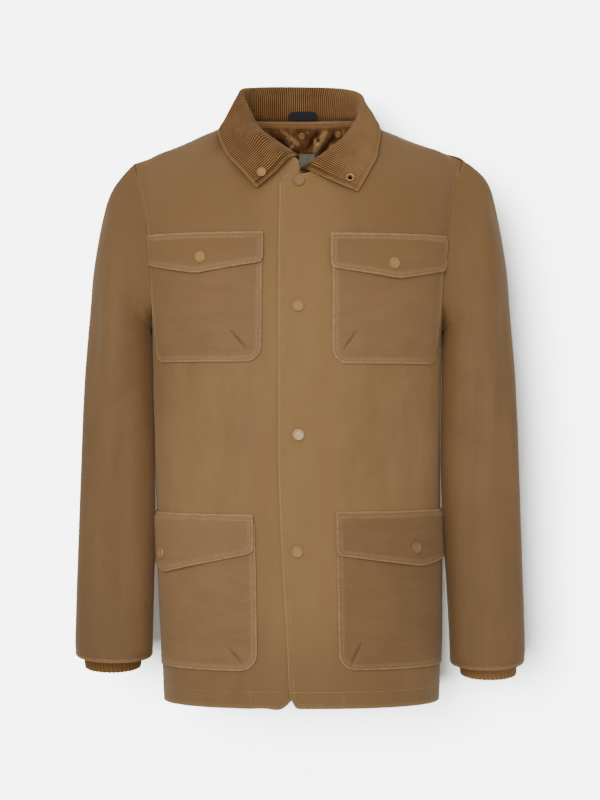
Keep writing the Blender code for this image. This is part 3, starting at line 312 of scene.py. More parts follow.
def folds_at(places, folds, whole_round):
    """How far out the folds move each place of a pattern that closes after whole_round."""
    moved = np.zeros(len(places))
    for start, end, depth, width in folds:
        for turn in (-whole_round, 0.0, whole_round):
            away, share = distance_to_line(places + (turn, 0.0), start, end)
            fade = np.sin(math.pi * np.clip(share, 0.04, 0.96)) ** 0.6
            moved += depth * fade * bell(away, width)
    return moved


def body_places(points):
    """How far round the body each point lies, from the middle of the front, and its height."""
    around = np.arctan2(points[:, 0], -points[:, 1]) * BODY_RADIUS
    return np.stack([around, points[:, 2] / MM], axis=1)


def arm_places(points, side):
    """How far round the arm each point lies, from its outside to the front, and its height."""
    x = side * points[:, 0] / MM - ARM_MIDDLE[0]
    y = points[:, 1] / MM - ARM_MIDDLE[1]
    return np.stack([np.arctan2(-y, x) * ARM_RADIUS, points[:, 2] / MM], axis=1)


def rim_points(mesh):
    """The points on the piece's open edges."""
    cloth = bmesh.new()
    cloth.from_mesh(mesh)
    found = [vertex.co.copy() for vertex in cloth.verts if vertex.is_boundary]
    cloth.free()
    return found


def distances(points, marks):
    """How far each point is from the nearest of the marks."""
    tree = KDTree(len(marks))
    for number, mark in enumerate(marks):
        tree.insert(mark, number)
    tree.balance()
    return np.array([tree.find(Vector(point))[2] for point in points])


trial = folds_at(np.array(((0.0, 50.0),)), (((0.0, 0.0), (0.0, 100.0), -2.0, 10.0),), OPEN)
print("a fold 2 mm deep, read at the middle of its line:", trial, "mm")

# %% [markdown]
# ## The body and the sleeves
# Five panels carry the coat's form: two fronts, the back and two sleeves. They are rounded,
# folded, and kept as single surfaces for now, because the pockets and the stitches are laid out
# on them. Two places are filled out besides: each sleeve stands full at its top, beside the
# armhole's seam, and the right front has a corner that stands up at the neck.

# %% Make the five panels
SEAM_HOLD = 16.0 * MM  # folds fade out over this distance from a seam
PANELS = ("front_right", "front_left", "back")
NECK_CORNER_UP = np.array((4.0, -3.0, 8.0)) * MM  # the right front's corner stands up at the neck
CROWN_UP = {RIGHT: 2.2, LEFT: 7.2}  # how full the top of each sleeve stands beside its seam, in mm
CROWN_OUT, CROWN_WIDE = 235.0, 17.0  # how far out from the coat's middle that is, and how wide
CROWN_RISES = (-175.0, -125.0)  # between which heights
panels = {}
for node in PANELS:
    panel = rounded("shell_" + node, one_face(node), 3)
    points = coordinates(panel.data)
    hold = smooth_step(distances(points, rim_points(panel.data)), 0.0, SEAM_HOLD)
    moved = folds_at(body_places(points), BODY_FOLDS, 2.0 * math.pi * BODY_RADIUS) * hold * MM
    points += normals_of(panel.data) * moved[:, None]
    if node == "front_right":
        x, _, z = points.T / MM
        near = smooth_step(x, -36.0, -14.0) * smooth_step(-x, -3.0, 6.0)
        near *= smooth_step(z, -88.0, -58.0)
        points += near[:, None] * NECK_CORNER_UP
    set_coordinates(panel.data, points)
    panels[node] = panel
for side, word in WORDS.items():
    panel = rounded("shell_sleeve_" + word, one_face("sleeve_" + word), 3)
    points = coordinates(panel.data)
    away = distances(points, rim_points(panel.data))
    places = arm_places(points, side)
    folds = folds_at(places, SLEEVE_FOLDS[side], 2.0 * math.pi * ARM_RADIUS)
    crown = bell(side * points[:, 0] / MM - CROWN_OUT, CROWN_WIDE)
    crown *= smooth_step(places[:, 1], *CROWN_RISES)
    moved = folds * smooth_step(away, 0.0, SEAM_HOLD)
    moved += CROWN_UP[side] * crown * smooth_step(away, 0.0, 0.5 * SEAM_HOLD)
    set_coordinates(panel.data, points + normals_of(panel.data) * moved[:, None] * MM)
    panels["sleeve_" + word] = panel
for name, panel in panels.items():
    print(name, len(panel.data.vertices), "points")

# %% [markdown]
# ## A pattern to sew on
# Pockets, flaps and most stitches lie on the two fronts. They are easiest to draw on the flat
# pattern that a maker would chalk them on: how far along the cloth from the coat's middle, and
# the height. Rays from inside the coat find the cloth at each height, and adding up the steps
# between them gives the length along it. Looking a flat place up in that chart gives its point on
# the coat and the way the cloth faces there.

# %% Chart the two fronts
CHART_HEIGHTS, ROW_STEP = (-742.0, -96.0), 4.0
CHART_ANGLES, ANGLE_STEP = (-18.0, 128.0), 0.8  # round from the coat's middle, in degrees
# Columns: height, how far the coat's middle leans sideways there.
LEAN = ((-735.0, 2.0), (-650.0, 1.5), (-560.0, 0.0), (-430.0, -3.5), (-320.0, -3.5), (-41.0, -2.0))


def tree_of(mesh):
    cloth = bmesh.new()
    cloth.from_mesh(mesh)
    tree = BVHTree.FromBMesh(cloth)
    cloth.free()
    return tree


def lean_at(height):
    return float(np.interp(height, *zip(*LEAN)))


class Chart:
    """One front's flat pattern."""

    def __init__(self, side):
        self.heights = np.arange(*CHART_HEIGHTS, ROW_STEP)
        angles = np.radians(np.arange(*CHART_ANGLES, ANGLE_STEP))
        heading = np.stack([side * np.sin(angles), -np.cos(angles), 0.0 * angles], axis=1)
        tree = tree_of(panels["front_" + WORDS[side]].data)
        shape = (len(self.heights), len(angles))
        self.points = np.full(shape + (3,), np.nan)
        for i, height in enumerate(self.heights):
            middle = Vector((lean_at(height), 0.0, height)) * MM
            for j, way in enumerate(heading):
                hit = tree.ray_cast(middle, Vector(way))[0]
                if hit:
                    self.points[i, j] = hit
        self.fill()
        across = np.gradient(self.points, axis=1)
        up = np.gradient(self.points, axis=0)
        normals = np.cross(across, up) * side
        size = np.linalg.norm(normals, axis=2, keepdims=True)
        self.normals = np.where(size > 1e-9, normals / np.maximum(size, 1e-12), heading[None])
        steps = np.linalg.norm(np.diff(self.points, axis=1), axis=2) / MM
        self.along = np.concatenate([np.zeros((shape[0], 1)), np.cumsum(steps, axis=1)], axis=1)
        for row in self.along:
            row -= np.interp(0.0, angles, row)
            row += np.arange(len(row)) * 1e-6

    def fill(self):
        """Gives the places past the cloth's edges the nearest point on it."""
        known = ~np.isnan(self.points[..., 0])
        rows = [i for i in range(len(known)) if known[i].any()]
        for i in range(len(known)):
            source = min(rows, key=lambda row: abs(row - i))
            held = np.flatnonzero(known[source])
            nearest = np.clip(np.arange(known.shape[1]), held[0], held[-1])
            nearest = held[np.searchsorted(held, nearest)]
            self.points[i] = self.points[source][nearest]
            self.points[i, :, 2] += (self.heights[i] - self.heights[source]) * MM

    def at(self, places):
        """The points and normals at flat places, in millimetres."""
        places = np.atleast_2d(places)
        rows = np.clip((places[:, 1] - self.heights[0]) / ROW_STEP, 0.0, len(self.heights) - 1.001)
        found = np.zeros((2, len(places), 3))
        for number, (along, row) in enumerate(zip(places[:, 0], rows)):
            low = int(row)
            for i, weight in ((low, 1.0 - row + low), (low + 1, row - low)):
                column = np.interp(along, self.along[i], np.arange(self.along.shape[1]))
                j = min(int(column), self.along.shape[1] - 2)
                part = column - j
                for k, grid in enumerate((self.points, self.normals)):
                    found[k, number] += weight * ((1.0 - part) * grid[i, j] + part * grid[i, j + 1])
        found[1] /= np.linalg.norm(found[1], axis=1, keepdims=True)
        return found


charts = {side: Chart(side) for side in WORDS}
for side, chart in charts.items():
    print(WORDS[side], "front reaches", round(float(chart.along[20].max())), "mm round the body")

# %% [markdown]
# ## Patch pockets
# A patch pocket is a flat piece of cloth, turned in all round and topstitched to the front, with
# rounded lower corners. Use has pushed the middle out a little, and each has a short slanting
# dart near its lower inner corner. All lengths are millimetres on the flat pattern.

# %% Draw the pockets
# Columns: inner edge, outer edge, top, bottom, corner radius.
BAGS = {
    "pocket_upper_right": (RIGHT, (44.5, 213.0, -150.0, -302.0, 20.0)),
    "pocket_upper_left": (LEFT, (43.5, 206.0, -152.0, -304.5, 20.0)),
    "pocket_lower_right": (RIGHT, (55.0, 296.0, -503.0, -689.0, 22.0)),
    "pocket_lower_left": (LEFT, (46.5, 273.0, -502.0, -688.0, 22.0)),
}
# Columns: start, end, depth, width. The first fold of each pocket is its dart.
BAG_FOLDS = {
    "pocket_upper_right": (
        ((84.0, -262.0), (63.0, -286.0), -1.9, 1.7),
        ((72.0, -300.0), (110.0, -268.0), 0.8, 9.0),
        ((180.0, -215.0), (160.0, -290.0), -0.9, 12.0),
    ),
    "pocket_upper_left": (
        ((73.0, -265.0), (58.0, -286.0), -1.9, 1.7),
        ((66.0, -300.0), (104.0, -266.0), 0.8, 9.0),
        ((176.0, -220.0), (158.0, -290.0), -0.9, 12.0),
    ),
    "pocket_lower_right": (
        ((91.0, -660.0), (75.0, -678.0), -1.9, 1.7),
        ((84.0, -684.0), (130.0, -648.0), 0.9, 10.0),
        ((250.0, -590.0), (236.0, -676.0), -1.1, 14.0),
        ((150.0, -575.0), (142.0, -660.0), -0.7, 16.0),
    ),
    "pocket_lower_left": (
        ((75.0, -654.0), (61.0, -682.0), -1.9, 1.7),
        ((70.0, -684.0), (118.0, -646.0), 0.9, 10.0),
        ((228.0, -585.0), (216.0, -676.0), -1.1, 14.0),
        ((138.0, -580.0), (146.0, -655.0), -0.7, 16.0),
    ),
}
BAG_BULGE = 2.2  # how far the middle stands off the front


def arc(middle, radius, start, end, steps=7):
    angles = np.radians(np.linspace(start, end, steps))
    return [(middle[0] + radius * math.cos(a), middle[1] + radius * math.sin(a)) for a in angles]


def bag_outline(inner, outer, top, bottom, radius):
    corners = [(outer, top), (inner, top)]
    corners += arc((inner + radius, bottom + radius), radius, 180.0, 270.0)
    return corners + arc((outer - radius, bottom + radius), radius, 270.0, 360.0)


def bag_lift(places, inner, outer, top, bottom, radius):
    """How far a pocket's cloth stands off the front: nothing at its sewn edges."""
    across = np.clip((places[:, 0] - inner) / (outer - inner), 0.0, 1.0) * 2.0 - 1.0
    down = np.clip((places[:, 1] - bottom) / (top - bottom), 0.0, 1.0)
    rise = np.sin(np.pi * np.minimum(down * 0.62, 0.5))
    return BAG_BULGE * (1.0 - across**2) * rise


for name, (side, (inner, outer, top, bottom, radius)) in BAGS.items():
    print(name, "is", outer - inner, "wide and", top - bottom, "high")

# %% [markdown]
# A piece that is sewn on is cut here out of a flat grid, with one straight cut for each side of
# its outline. Two narrow rings of cells then go round it. They carry the line where the wax has
# rubbed off the turned edge, and a thin painted shade along the sides that the light leaves in
# shade.

# %% Cut a flat piece
CELL = 1.9
EDGE_BANDS = (1.7, 0.8, 0.0)  # how far inside the edge its two narrow rings of cells begin and end


def unit(vectors):
    return vectors / np.maximum(np.linalg.norm(vectors, axis=-1, keepdims=True), 1e-9)


def inset(outline, distance):
    """A convex outline moved inwards, corner by corner."""
    outline = np.array(outline)
    corners = []
    befores, afters = np.roll(outline, 1, axis=0), np.roll(outline, -1, axis=0)
    for before, here, after in zip(befores, outline, afters):
        first, second = unit(here - before), unit(after - here)
        inward = np.array((-first[1] - second[1], first[0] + second[0]))
        corners.append(here + inward * distance / (1.0 + first @ second))
    return np.array(corners)


def across_ring(places, inner, outer):
    """Where places on an inner outline go on the outer one, which has as many corners."""
    sides = zip(inner, np.roll(inner, -1, axis=0))
    found = np.array([distance_to_line(places, start, end) for start, end in sides])
    away, share = found.transpose(1, 0, 2)
    nearest = away.argmin(axis=0)
    share = share[nearest, np.arange(len(places))][:, None]
    return outer[nearest] * (1.0 - share) + np.roll(outer, -1, axis=0)[nearest] * share


def cut_flat(outline):
    """A grid cut to a convex outline that runs anticlockwise, with narrow rings at its edge."""
    rings = [inset(outline, distance) for distance in EDGE_BANDS]
    low, high = rings[0].min(axis=0), rings[0].max(axis=0)
    columns, rows = np.ceil((high - low) / CELL).astype(int)
    cloth = bmesh.new()
    bmesh.ops.create_grid(cloth, x_segments=int(columns), y_segments=int(rows), size=0.5)
    bmesh.ops.scale(cloth, vec=(*(high - low), 1.0), verts=cloth.verts)
    bmesh.ops.translate(cloth, vec=(*((low + high) / 2.0), 0.0), verts=cloth.verts)
    for start, end in zip(rings[0], np.roll(rings[0], -1, axis=0)):
        away = (end[1] - start[1], start[0] - end[0], 0.0)
        everything = cloth.verts[:] + cloth.edges[:] + cloth.faces[:]
        bmesh.ops.bisect_plane(
            cloth, geom=everything, dist=0.02,
            plane_co=(*start, 0.0), plane_no=away, clear_outer=True,
        )
    for inner, outer in zip(rings, rings[1:]):
        rim = [edge for edge in cloth.edges if edge.is_boundary]
        made = bmesh.ops.extrude_edge_only(cloth, edges=rim)["geom"]
        verts = [item for item in made if isinstance(item, bmesh.types.BMVert)]
        places = np.array([vert.co[:2] for vert in verts])
        for vert, place in zip(verts, across_ring(places, inner, outer)):
            vert.co = (*place, 0.0)
    cloth.normal_update()
    bmesh.ops.reverse_faces(cloth, faces=[face for face in cloth.faces if face.normal.z < 0.0])
    return cloth


trial = cut_flat(bag_outline(*BAGS["pocket_upper_right"][1]))
print("an upper pocket's cloth has", len(trial.faces), "cells")
trial.free()

# %% [markdown]
# The cut cloth is laid on the chart, each point as far off the front as the cloth stands there.
# Every point also keeps two numbers that the materials read later: how worn the wax is, and how
# much shade is painted on it, in a dart's crease or along a side that the light leaves in shade.

# %% Lay a piece on the front
TURNED_IN = 6.0  # how wide the edge is turned in, whose end shows through the cloth


def mark(mesh, name, values):
    """Keeps a number for each point, which materials can read."""
    layer = mesh.attributes.get(name) or mesh.attributes.new(name, "FLOAT", "POINT")
    layer.data.foreach_set("value", np.ascontiguousarray(values, np.float32))


def thicken(piece, wall, outwards, edge=0.0):
    """Gives a sheet its thickness, and rounds its edges a little."""
    solid = piece.modifiers.new("thickness", "SOLIDIFY")
    solid.thickness = wall * MM
    solid.offset = 1.0 if outwards else -1.0
    if edge:
        bevel = piece.modifiers.new("edge", "BEVEL")
        bevel.width, bevel.segments = edge * MM, 2
        bevel.limit_method, bevel.angle_limit = "ANGLE", math.radians(50.0)


def from_outline(places, outline):
    """How far each flat place lies from a closed outline."""
    sides = zip(outline, outline[1:] + outline[:1])
    return np.min([distance_to_line(places, start, end)[0] for start, end in sides], axis=0)


def from_shaded(places, outline, side):
    """How far each flat place lies from the sides that the light leaves in shade."""
    sides = []
    for start, end in zip(outline, outline[1:] + outline[:1]):
        away = np.array((end[1] - start[1], start[0] - end[0])) / math.dist(start, end)
        if away @ (0.75 * side, -0.65) > 0.35:
            sides.append(distance_to_line(places, start, end)[0])
    return np.min(sides, axis=0)


def lay(name, side, outline, lift, painted_shades=lambda places: 0.0 * places[:, 0]):
    """Lays a cut piece of cloth on a front. lift is a function of the flat places."""
    cloth = cut_flat(outline)
    if side == RIGHT:
        bmesh.ops.reverse_faces(cloth, faces=cloth.faces)
    mesh = bpy.data.meshes.new(name)
    cloth.to_mesh(mesh)
    cloth.free()
    places = coordinates(mesh)[:, :2]
    points, normals = charts[side].at(places)
    set_coordinates(mesh, points + normals * (lift(places) * MM)[:, None])
    edge = from_outline(places, outline)
    # Painted shade along the sides that the light leaves in shade. The worn line gives way to it
    # there, and it shares one mark with a dart's painted shade.
    shade = bell(from_shaded(places, outline, side), 0.5)
    worn = 1.1 * bell(edge - 0.9, 1.1) + 0.4 * bell(edge - TURNED_IN, 1.8)
    mark(mesh, "worn", worn * (1.0 - 0.8 * shade))
    mark(mesh, "painted_shade", np.maximum(painted_shades(places), shade))
    piece = add_piece(name, mesh)
    mesh.shade_smooth()
    return piece


trial = from_outline(np.array(((100.0, -230.0),)), bag_outline(*BAGS["pocket_upper_right"][1]))
print("a place inside an upper pocket is", trial.round(1), "mm from its edge")

# %% [markdown]
# A pocket's cloth touches the front along its sewn edges and stands off it in the middle. Its
# folds and its dart come on top, and a shallow channel shows where the turned-in edge ends.

# %% Sew the pockets on
LAY_GAP, BAG_WALL = 0.4, 1.2
BAG_UNDER = 0.3  # how far inside the wall the sheet starts, which then gets the rest as thickness
DEEPEST = -1.9  # a deeper fold would meet the front


def channel(rim):
    """The shallow dip where the turned-in edge ends, at a distance from the rim."""
    return -0.14 * bell(rim - TURNED_IN, 1.6)


def bag_surface(name):
    """How far the inner side of a pocket's cloth stands off the front, with its folds."""
    side, sizes = BAGS[name]
    outline = bag_outline(*sizes)

    def lift(places):
        rim = from_outline(places, outline)
        hold = smooth_step(rim, 1.0, 18.0)
        folds = folds_at(places, BAG_FOLDS[name], OPEN) * np.maximum(hold, 0.35)
        stood = LAY_GAP + bag_lift(places, *sizes) + np.maximum(folds, DEEPEST)
        return stood + channel(rim) + BAG_UNDER

    return lift


def dart_shade_of(name):
    """How much shade is painted on each place of a pocket, deepest in its dart's crease."""
    start, end, _, width = BAG_FOLDS[name][0]

    def painted_shade(places):
        away, share = distance_to_line(places, start, end)
        fade = np.sin(math.pi * np.clip(share, 0.1, 0.9)) ** 0.5
        return bell(away, 0.75 * width) * fade

    return painted_shade


bags = {}
for name, (side, sizes) in BAGS.items():
    outline = bag_outline(*sizes)
    bags[name] = lay("bag_" + name[7:], side, outline, bag_surface(name), dart_shade_of(name))
    thicken(bags[name], BAG_WALL - BAG_UNDER, True, 0.35)
    print(name, len(bags[name].data.vertices), "points")

# %% [markdown]
# ## Flaps
# Each flap is a stiff, doubled piece with a low point, sewn on above its pocket by two close rows
# and closed by one snap. It steps up over the pocket's top edge and lies on it, so its lower
# edge throws a thin shadow.

# %% Cut the flaps and sew them on
FLAP_COLUMNS = ("inner", "outer", "top", "side", "point_along", "point_z")
FLAPS = {
    "flap_upper_right": (RIGHT, (43.5, 215.0, -139.5, -178.0, 129.0, -192.0)),
    "flap_upper_left": (LEFT, (41.0, 210.0, -141.0, -185.0, 127.0, -198.5)),
    "flap_lower_right": (RIGHT, (57.0, 298.0, -492.5, -541.0, 190.0, -569.0)),
    "flap_lower_left": (LEFT, (47.0, 275.0, -489.0, -544.0, 159.0, -560.0)),
}
FLAP_WALL, FLAP_UNDER, FLAP_GAP = 1.3, 0.1, 0.5
FLAP_CORNER = 9.0  # how far the eased corners reach
FLAP_STEP = 9.0  # how far down it takes to step over the pocket's edge
FLAP_CURL = 1.5  # how much the lower edge has sprung away from the pocket
TIP_HALF, TIP_UP = 5.0, 0.9  # the low point is blunted by so much


def flap_outline(inner, outer, top, side, point_along, point_z):
    """Straight sides, then two slopes that meet at a low point, with eased corners."""
    point = np.array((point_along, point_z))
    corners = [(outer, top), (inner, top)]
    for corner in (np.array((inner, side)), np.array((outer, side))):
        away = (point - corner) * FLAP_CORNER / np.linalg.norm(point - corner)
        start, end = corner + (0.0, FLAP_CORNER), corner + away
        shares = np.linspace(0.0, 1.0, 6)[:, None]
        eased = (1 - shares) ** 2 * start + 2 * shares * (1 - shares) * corner + shares**2 * end
        eased = [tuple(place) for place in eased]
        if corner[0] == inner:
            corners += eased
            corners += [(point_along + way * TIP_HALF, point_z + TIP_UP) for way in (-1, 1)]
        else:
            corners += eased[::-1]
    return corners


def flap_surface(name):
    side, sizes = FLAPS[name]
    outline = flap_outline(*sizes)
    values = dict(zip(FLAP_COLUMNS, sizes))
    bag = BAGS[name.replace("flap", "pocket")][1]

    def lift(places):
        rim = from_outline(places, outline)
        under = BAG_WALL + FLAP_GAP + bag_lift(places, *bag)
        over = smooth_step(values["top"] - places[:, 1], 0.0, FLAP_STEP)
        down = smooth_step(values["top"] - places[:, 1], 20.0, values["top"] - values["point_z"])
        spring = FLAP_CURL * down * (0.5 + 0.5 * np.sin(places[:, 0] / 17.0 + side))
        return LAY_GAP + under * over + spring + channel(rim) * over + FLAP_UNDER

    return lift


flaps = {}
for name, (side, sizes) in FLAPS.items():
    flaps[name] = lay(name.replace("flap", "cover"), side, flap_outline(*sizes), flap_surface(name))
    thicken(flaps[name], FLAP_WALL - FLAP_UNDER, True, 0.4)
    print(name, len(flaps[name].data.vertices), "points")

# %% [markdown]
# ## The corduroy collar
# The collar is one folded piece of wide-wale corduroy: up from the neck seam as a stand, over the
# roll, and down as a leaf that ends in two points. Its cords run the same way, from the seam to
# the leaf's edge, so they fan out where the leaf is longer than the neck. A sweep along one path
# couldn't do that. Three lines are known all round, the seam, the roll and the leaf's edge, so a
# flat grid is stretched over the curves between them, with six columns of points to each cord.

# %% Lay out the collar's lines
# Columns: share of the way round, roll line, leaf edge, in millimetres.
COLLAR = (
    (0.0, (-1.0, -99.0, -41.0), (-54.0, -111.0, -83.5)),
    (0.09, (-26.0, -79.0, -23.5), (-72.0, -100.0, -62.0)),
    (0.19, (-50.0, -48.0, -2.0), (-95.0, -66.0, -34.0)),
    (0.28, (-66.5, -14.0, 29.0), (-106.0, -20.0, -1.0)),
    (0.34, (-75.5, 14.0, 53.0), (-97.0, 14.0, 13.0)),
    (0.42, (-58.0, 52.0, 63.0), (-78.0, 70.0, 6.0)),
    (0.5, (0.0, 80.0, 67.0), (0.0, 107.0, 0.0)),
    (0.58, (60.0, 52.0, 61.0), (79.0, 70.0, 4.0)),
    (0.66, (80.0, 14.0, 46.0), (98.0, 14.0, 13.0)),
    (0.73, (75.0, -16.0, 19.0), (104.5, -19.0, 0.0)),
    (0.81, (57.0, -51.0, -11.0), (99.0, -60.0, -37.0)),
    (0.91, (28.0, -82.0, -38.0), (87.0, -88.0, -65.0)),
    (1.0, (0.0, -100.0, -57.5), (72.0, -108.0, -90.0)),
)
# The neck seam's front and back runs: share of the way round at start and end, and points.
NECK_RUNS = (
    (0.0, 0.34, (
        (-1.0, -103.0, -54.0), (-50.0, -79.0, -36.0), (-77.0, -38.0, -9.0), (-82.0, 8.0, 14.0),
    )),
    (0.34, 0.66, (
        (-82.0, 8.0, 14.0), (-74.0, 38.0, 18.0), (-42.0, 64.0, 19.5), (0.0, 72.0, 20.0),
        (42.0, 64.0, 19.5), (74.0, 38.0, 18.0), (82.0, 8.0, 14.0),
    )),
    (0.66, 1.0, (
        (82.0, 8.0, 14.0), (78.0, -38.0, -10.0), (54.0, -79.0, -42.0), (1.5, -105.0, -66.0),
    )),
)
ROLL_RADIUS, ROLL_SHARE = 4.6, 0.42  # the roll's radius, and its largest share of the stand
LEAF_BULGE = 1.5
FOOT_UP, FOOT_IN = 0.8, 2.9  # how far above the neck seam and inside it the stand starts


def curve_through(stations, values, wanted):
    """A smooth curve through the values at the stations, read at the wanted places."""
    stations, values = np.asarray(stations, float), np.asarray(values, float)
    slopes = np.gradient(values, stations, axis=0)
    cell = np.clip(np.searchsorted(stations, wanted, side="right") - 1, 0, len(stations) - 2)
    shape = (-1,) + (1,) * (values.ndim - 1)
    width = (stations[cell + 1] - stations[cell]).reshape(shape)
    part = (wanted - stations[cell]).reshape(shape) / width
    start, end = values[cell], values[cell + 1]
    leave, arrive = slopes[cell] * width, slopes[cell + 1] * width
    bend = part**2 * (3.0 * (end - start) - 2.0 * leave - arrive)
    return start + part * leave + bend + part**3 * (2.0 * (start - end) + leave + arrive)


def neck_seam(along):
    seam = np.zeros((len(along), 3))
    for start, end, line in NECK_RUNS:
        line = np.array(line)
        run = np.concatenate([[0.0], np.cumsum(np.linalg.norm(np.diff(line, axis=0), axis=1))])
        here = (along >= start) & (along <= end)
        seam[here] = curve_through(run / run[-1], line, (along[here] - start) / (end - start))
    return seam


def collar_lines(along):
    """The collar's top side: eight lines from the seam over the roll to the leaf's edge."""
    seam = neck_seam(along)
    stations = [row[0] for row in COLLAR]
    roll = curve_through(stations, [row[1] for row in COLLAR], along)
    leaf = curve_through(stations, [row[2] for row in COLLAR], along)
    tangent = unit(np.gradient(roll, along, axis=0))
    rise = roll - seam
    rise -= tangent * (rise * tangent).sum(axis=1, keepdims=True)
    height = np.linalg.norm(rise, axis=1, keepdims=True)
    rise /= height
    out = np.cross(rise, tangent)
    radius = np.minimum(ROLL_RADIUS, height * ROLL_SHARE)
    corner = radius * (1.0 - math.sqrt(0.5))
    diagonal = out * radius * math.sqrt(0.5)
    lines = [seam + rise * FOOT_UP - out * FOOT_IN]
    lines += [roll - rise * radius - out * radius, roll - rise * corner - diagonal]
    lines += [roll, roll - rise * corner + diagonal]
    lines += [roll - rise * radius + out * radius]
    lines += [(lines[-1] + leaf) / 2.0 + out * LEAF_BULGE, leaf]
    return np.array(lines)


even = np.linspace(0.0, 1.0, 401)
steps = np.linalg.norm(np.diff(collar_lines(even)[-1], axis=0), axis=1)
print("the leaf's edge is", round(float(steps.sum())), "mm long")

# %% [markdown]
# The grid's columns are spaced evenly along the roll, a whole number of cords from end to end.
# Where the leaf would sink into the fronts or the back it is lifted clear of them, and its lines
# are evened out, since real corduroy is too stiff to follow every step below it.

# %% Stretch a grid over the lines
WALE, WALE_COLUMNS = 3.35, 6  # the cords' pitch along the roll, and the columns to each
LEAF_CLEAR = 3.9  # the leaf's top side stays this far above the cloth below it
EVENED = 25  # how many points a line is evened out over
SECTION_CELLS = (5, 3, 3, 3, 3, 7, 7)  # between each line and the next


def evened(line):
    """A line whose points are each the mean of those round them."""
    padded = np.pad(line, ((EVENED // 2, EVENED // 2), (0, 0)), "edge")
    mean = np.ones(EVENED) / EVENED
    return np.stack([np.convolve(row, mean, "valid") for row in padded.T], axis=1)


run = np.linalg.norm(np.diff(collar_lines(even)[3], axis=0), axis=1)
run = np.concatenate([[0.0], np.cumsum(run)])
WALES = int(round(run[-1] / WALE))
along = np.interp(np.linspace(0.0, run[-1], WALES * WALE_COLUMNS + 1), run, even)
lines = collar_lines(along)
below = [tree_of(panels[node].data) for node in PANELS]
for line in lines[5:]:
    for number, point in enumerate(line):
        hits = [tree.find_nearest(Vector(point * MM)) for tree in below]
        spot, normal, _, _ = min(hits, key=lambda hit: hit[3])
        gap = (Vector(point * MM) - spot).dot(normal) / MM
        if gap < LEAF_CLEAR:
            line[number] += np.array(normal) * (LEAF_CLEAR - gap)
    line[:] = evened(line)
reach = np.linalg.norm(np.diff(lines, axis=0), axis=2).mean(axis=1)
stations = np.concatenate([[0.0], np.cumsum(reach)])
stops = [
    np.linspace(start, end, cells + 1)[:-1]
    for start, end, cells in zip(stations, stations[1:], SECTION_CELLS)
]
stops = np.concatenate(stops + [stations[-1:]])
surface = np.stack([curve_through(stations, lines[:, j], stops) for j in range(len(along))], axis=1)
print("collar", surface.shape, "stand and leaf", stations.round(1))

# %% [markdown]
# The cords themselves are a smooth wave across the collar. They are raised only on the top side,
# after the cloth has its thickness, so the hidden side stays plain. They are pressed flat along
# the row of stitches beside each front edge, as on the real one, and die out at the very edges.

# %% Raise the cords
WALE_RISE = 0.5  # how far a cord stands above the valley beside it
PRESSED_IN, PRESSED_WIDE = 5.5, 1.3  # where the stitches press them, from the edge

facing = unit(np.cross(np.gradient(surface, axis=1), np.gradient(surface, axis=0)))
side_steps = np.linalg.norm(np.diff(surface, axis=1), axis=2)
from_right = np.pad(np.cumsum(side_steps, axis=1), ((0, 0), (1, 0)))
from_end = np.minimum(from_right, from_right[:, -1:] - from_right)
down_steps = np.linalg.norm(np.diff(surface, axis=0), axis=2)
from_foot = np.pad(np.cumsum(down_steps, axis=0), ((1, 0), (0, 0)))
from_leaf = from_foot[-1:] - from_foot
edge = np.minimum(from_end, from_leaf)
wave = 0.5 - 0.5 * np.cos(2.0 * math.pi * np.arange(len(along)) / WALE_COLUMNS)[None, :]
pressed = bell(from_end - PRESSED_IN, PRESSED_WIDE)
pressed += 0.6 * bell(from_leaf - PRESSED_IN, PRESSED_WIDE)
cord = wave**0.8 * smooth_step(edge, 0.1, 1.4) * (1.0 - 0.75 * np.clip(pressed, 0.0, 1.0))
relief = WALE_RISE * cord - 0.3 * np.clip(pressed, 0.0, 1.0)
stand = 1.0 - smooth_step(from_foot, stations[1] - 3.0, stations[1] + 1.0)
hidden_end = stand * (1.0 - smooth_step(from_end, 9.0, 16.0))
relief *= 1.0 - hidden_end
print(WALES, "cords, raised by up to", round(float(relief.max()), 2), "mm")

# %% [markdown]
# The grid now takes its thickness, and its top side the cords. Each point keeps how high on a
# cord it lies, for the shade painted between the cords, and how near the leaf's worn edge it is.

# %% Make the collar
COLLAR_WALL = 2.3

grid = bmesh.new()
rows, columns = surface.shape[0] - 1, surface.shape[1] - 1
bmesh.ops.create_grid(grid, x_segments=columns, y_segments=rows, size=0.5)
mesh = bpy.data.meshes.new("collar_corduroy")
grid.to_mesh(mesh)
grid.free()
flat = coordinates(mesh)[:, :2] + 0.5
i, j = np.round(flat[:, 1] * rows).astype(int), np.round(flat[:, 0] * columns).astype(int)
set_coordinates(mesh, surface[i, j] * MM)
ridge = wave[0, j] * (1.0 - 0.5 * np.clip(pressed[i, j], 0.0, 1.0))
mark(mesh, "ridge", ridge * (1.0 - hidden_end[i, j]) + 0.25 * hidden_end[i, j])
mark(mesh, "worn", bell(edge[i, j], 0.45) * (1.0 - stand[i, j]))
collar = add_piece("collar_corduroy", mesh)
thicken(collar, COLLAR_WALL, False)
apply_modifiers(collar)
points = coordinates(collar.data)
points[: len(i)] = (surface[i, j] + facing[i, j] * relief[i, j][:, None]) * MM
set_coordinates(collar.data, points)
collar.data.shade_smooth()
print("collar", len(collar.data.polygons), "faces")

# %% [markdown]
# ## Rib cuffs
# The cuffs are a ribbed knit. Their solids already carry each rib as a plain ridge, so this lifts
# the ridges a little more, remembers for every point whether it is on a rib or between two, and
# rounds everything.

# %% Round the cuffs
ACROSS = 2.5 * MM  # neighbours nearer than this lie across the ribs, and not along them


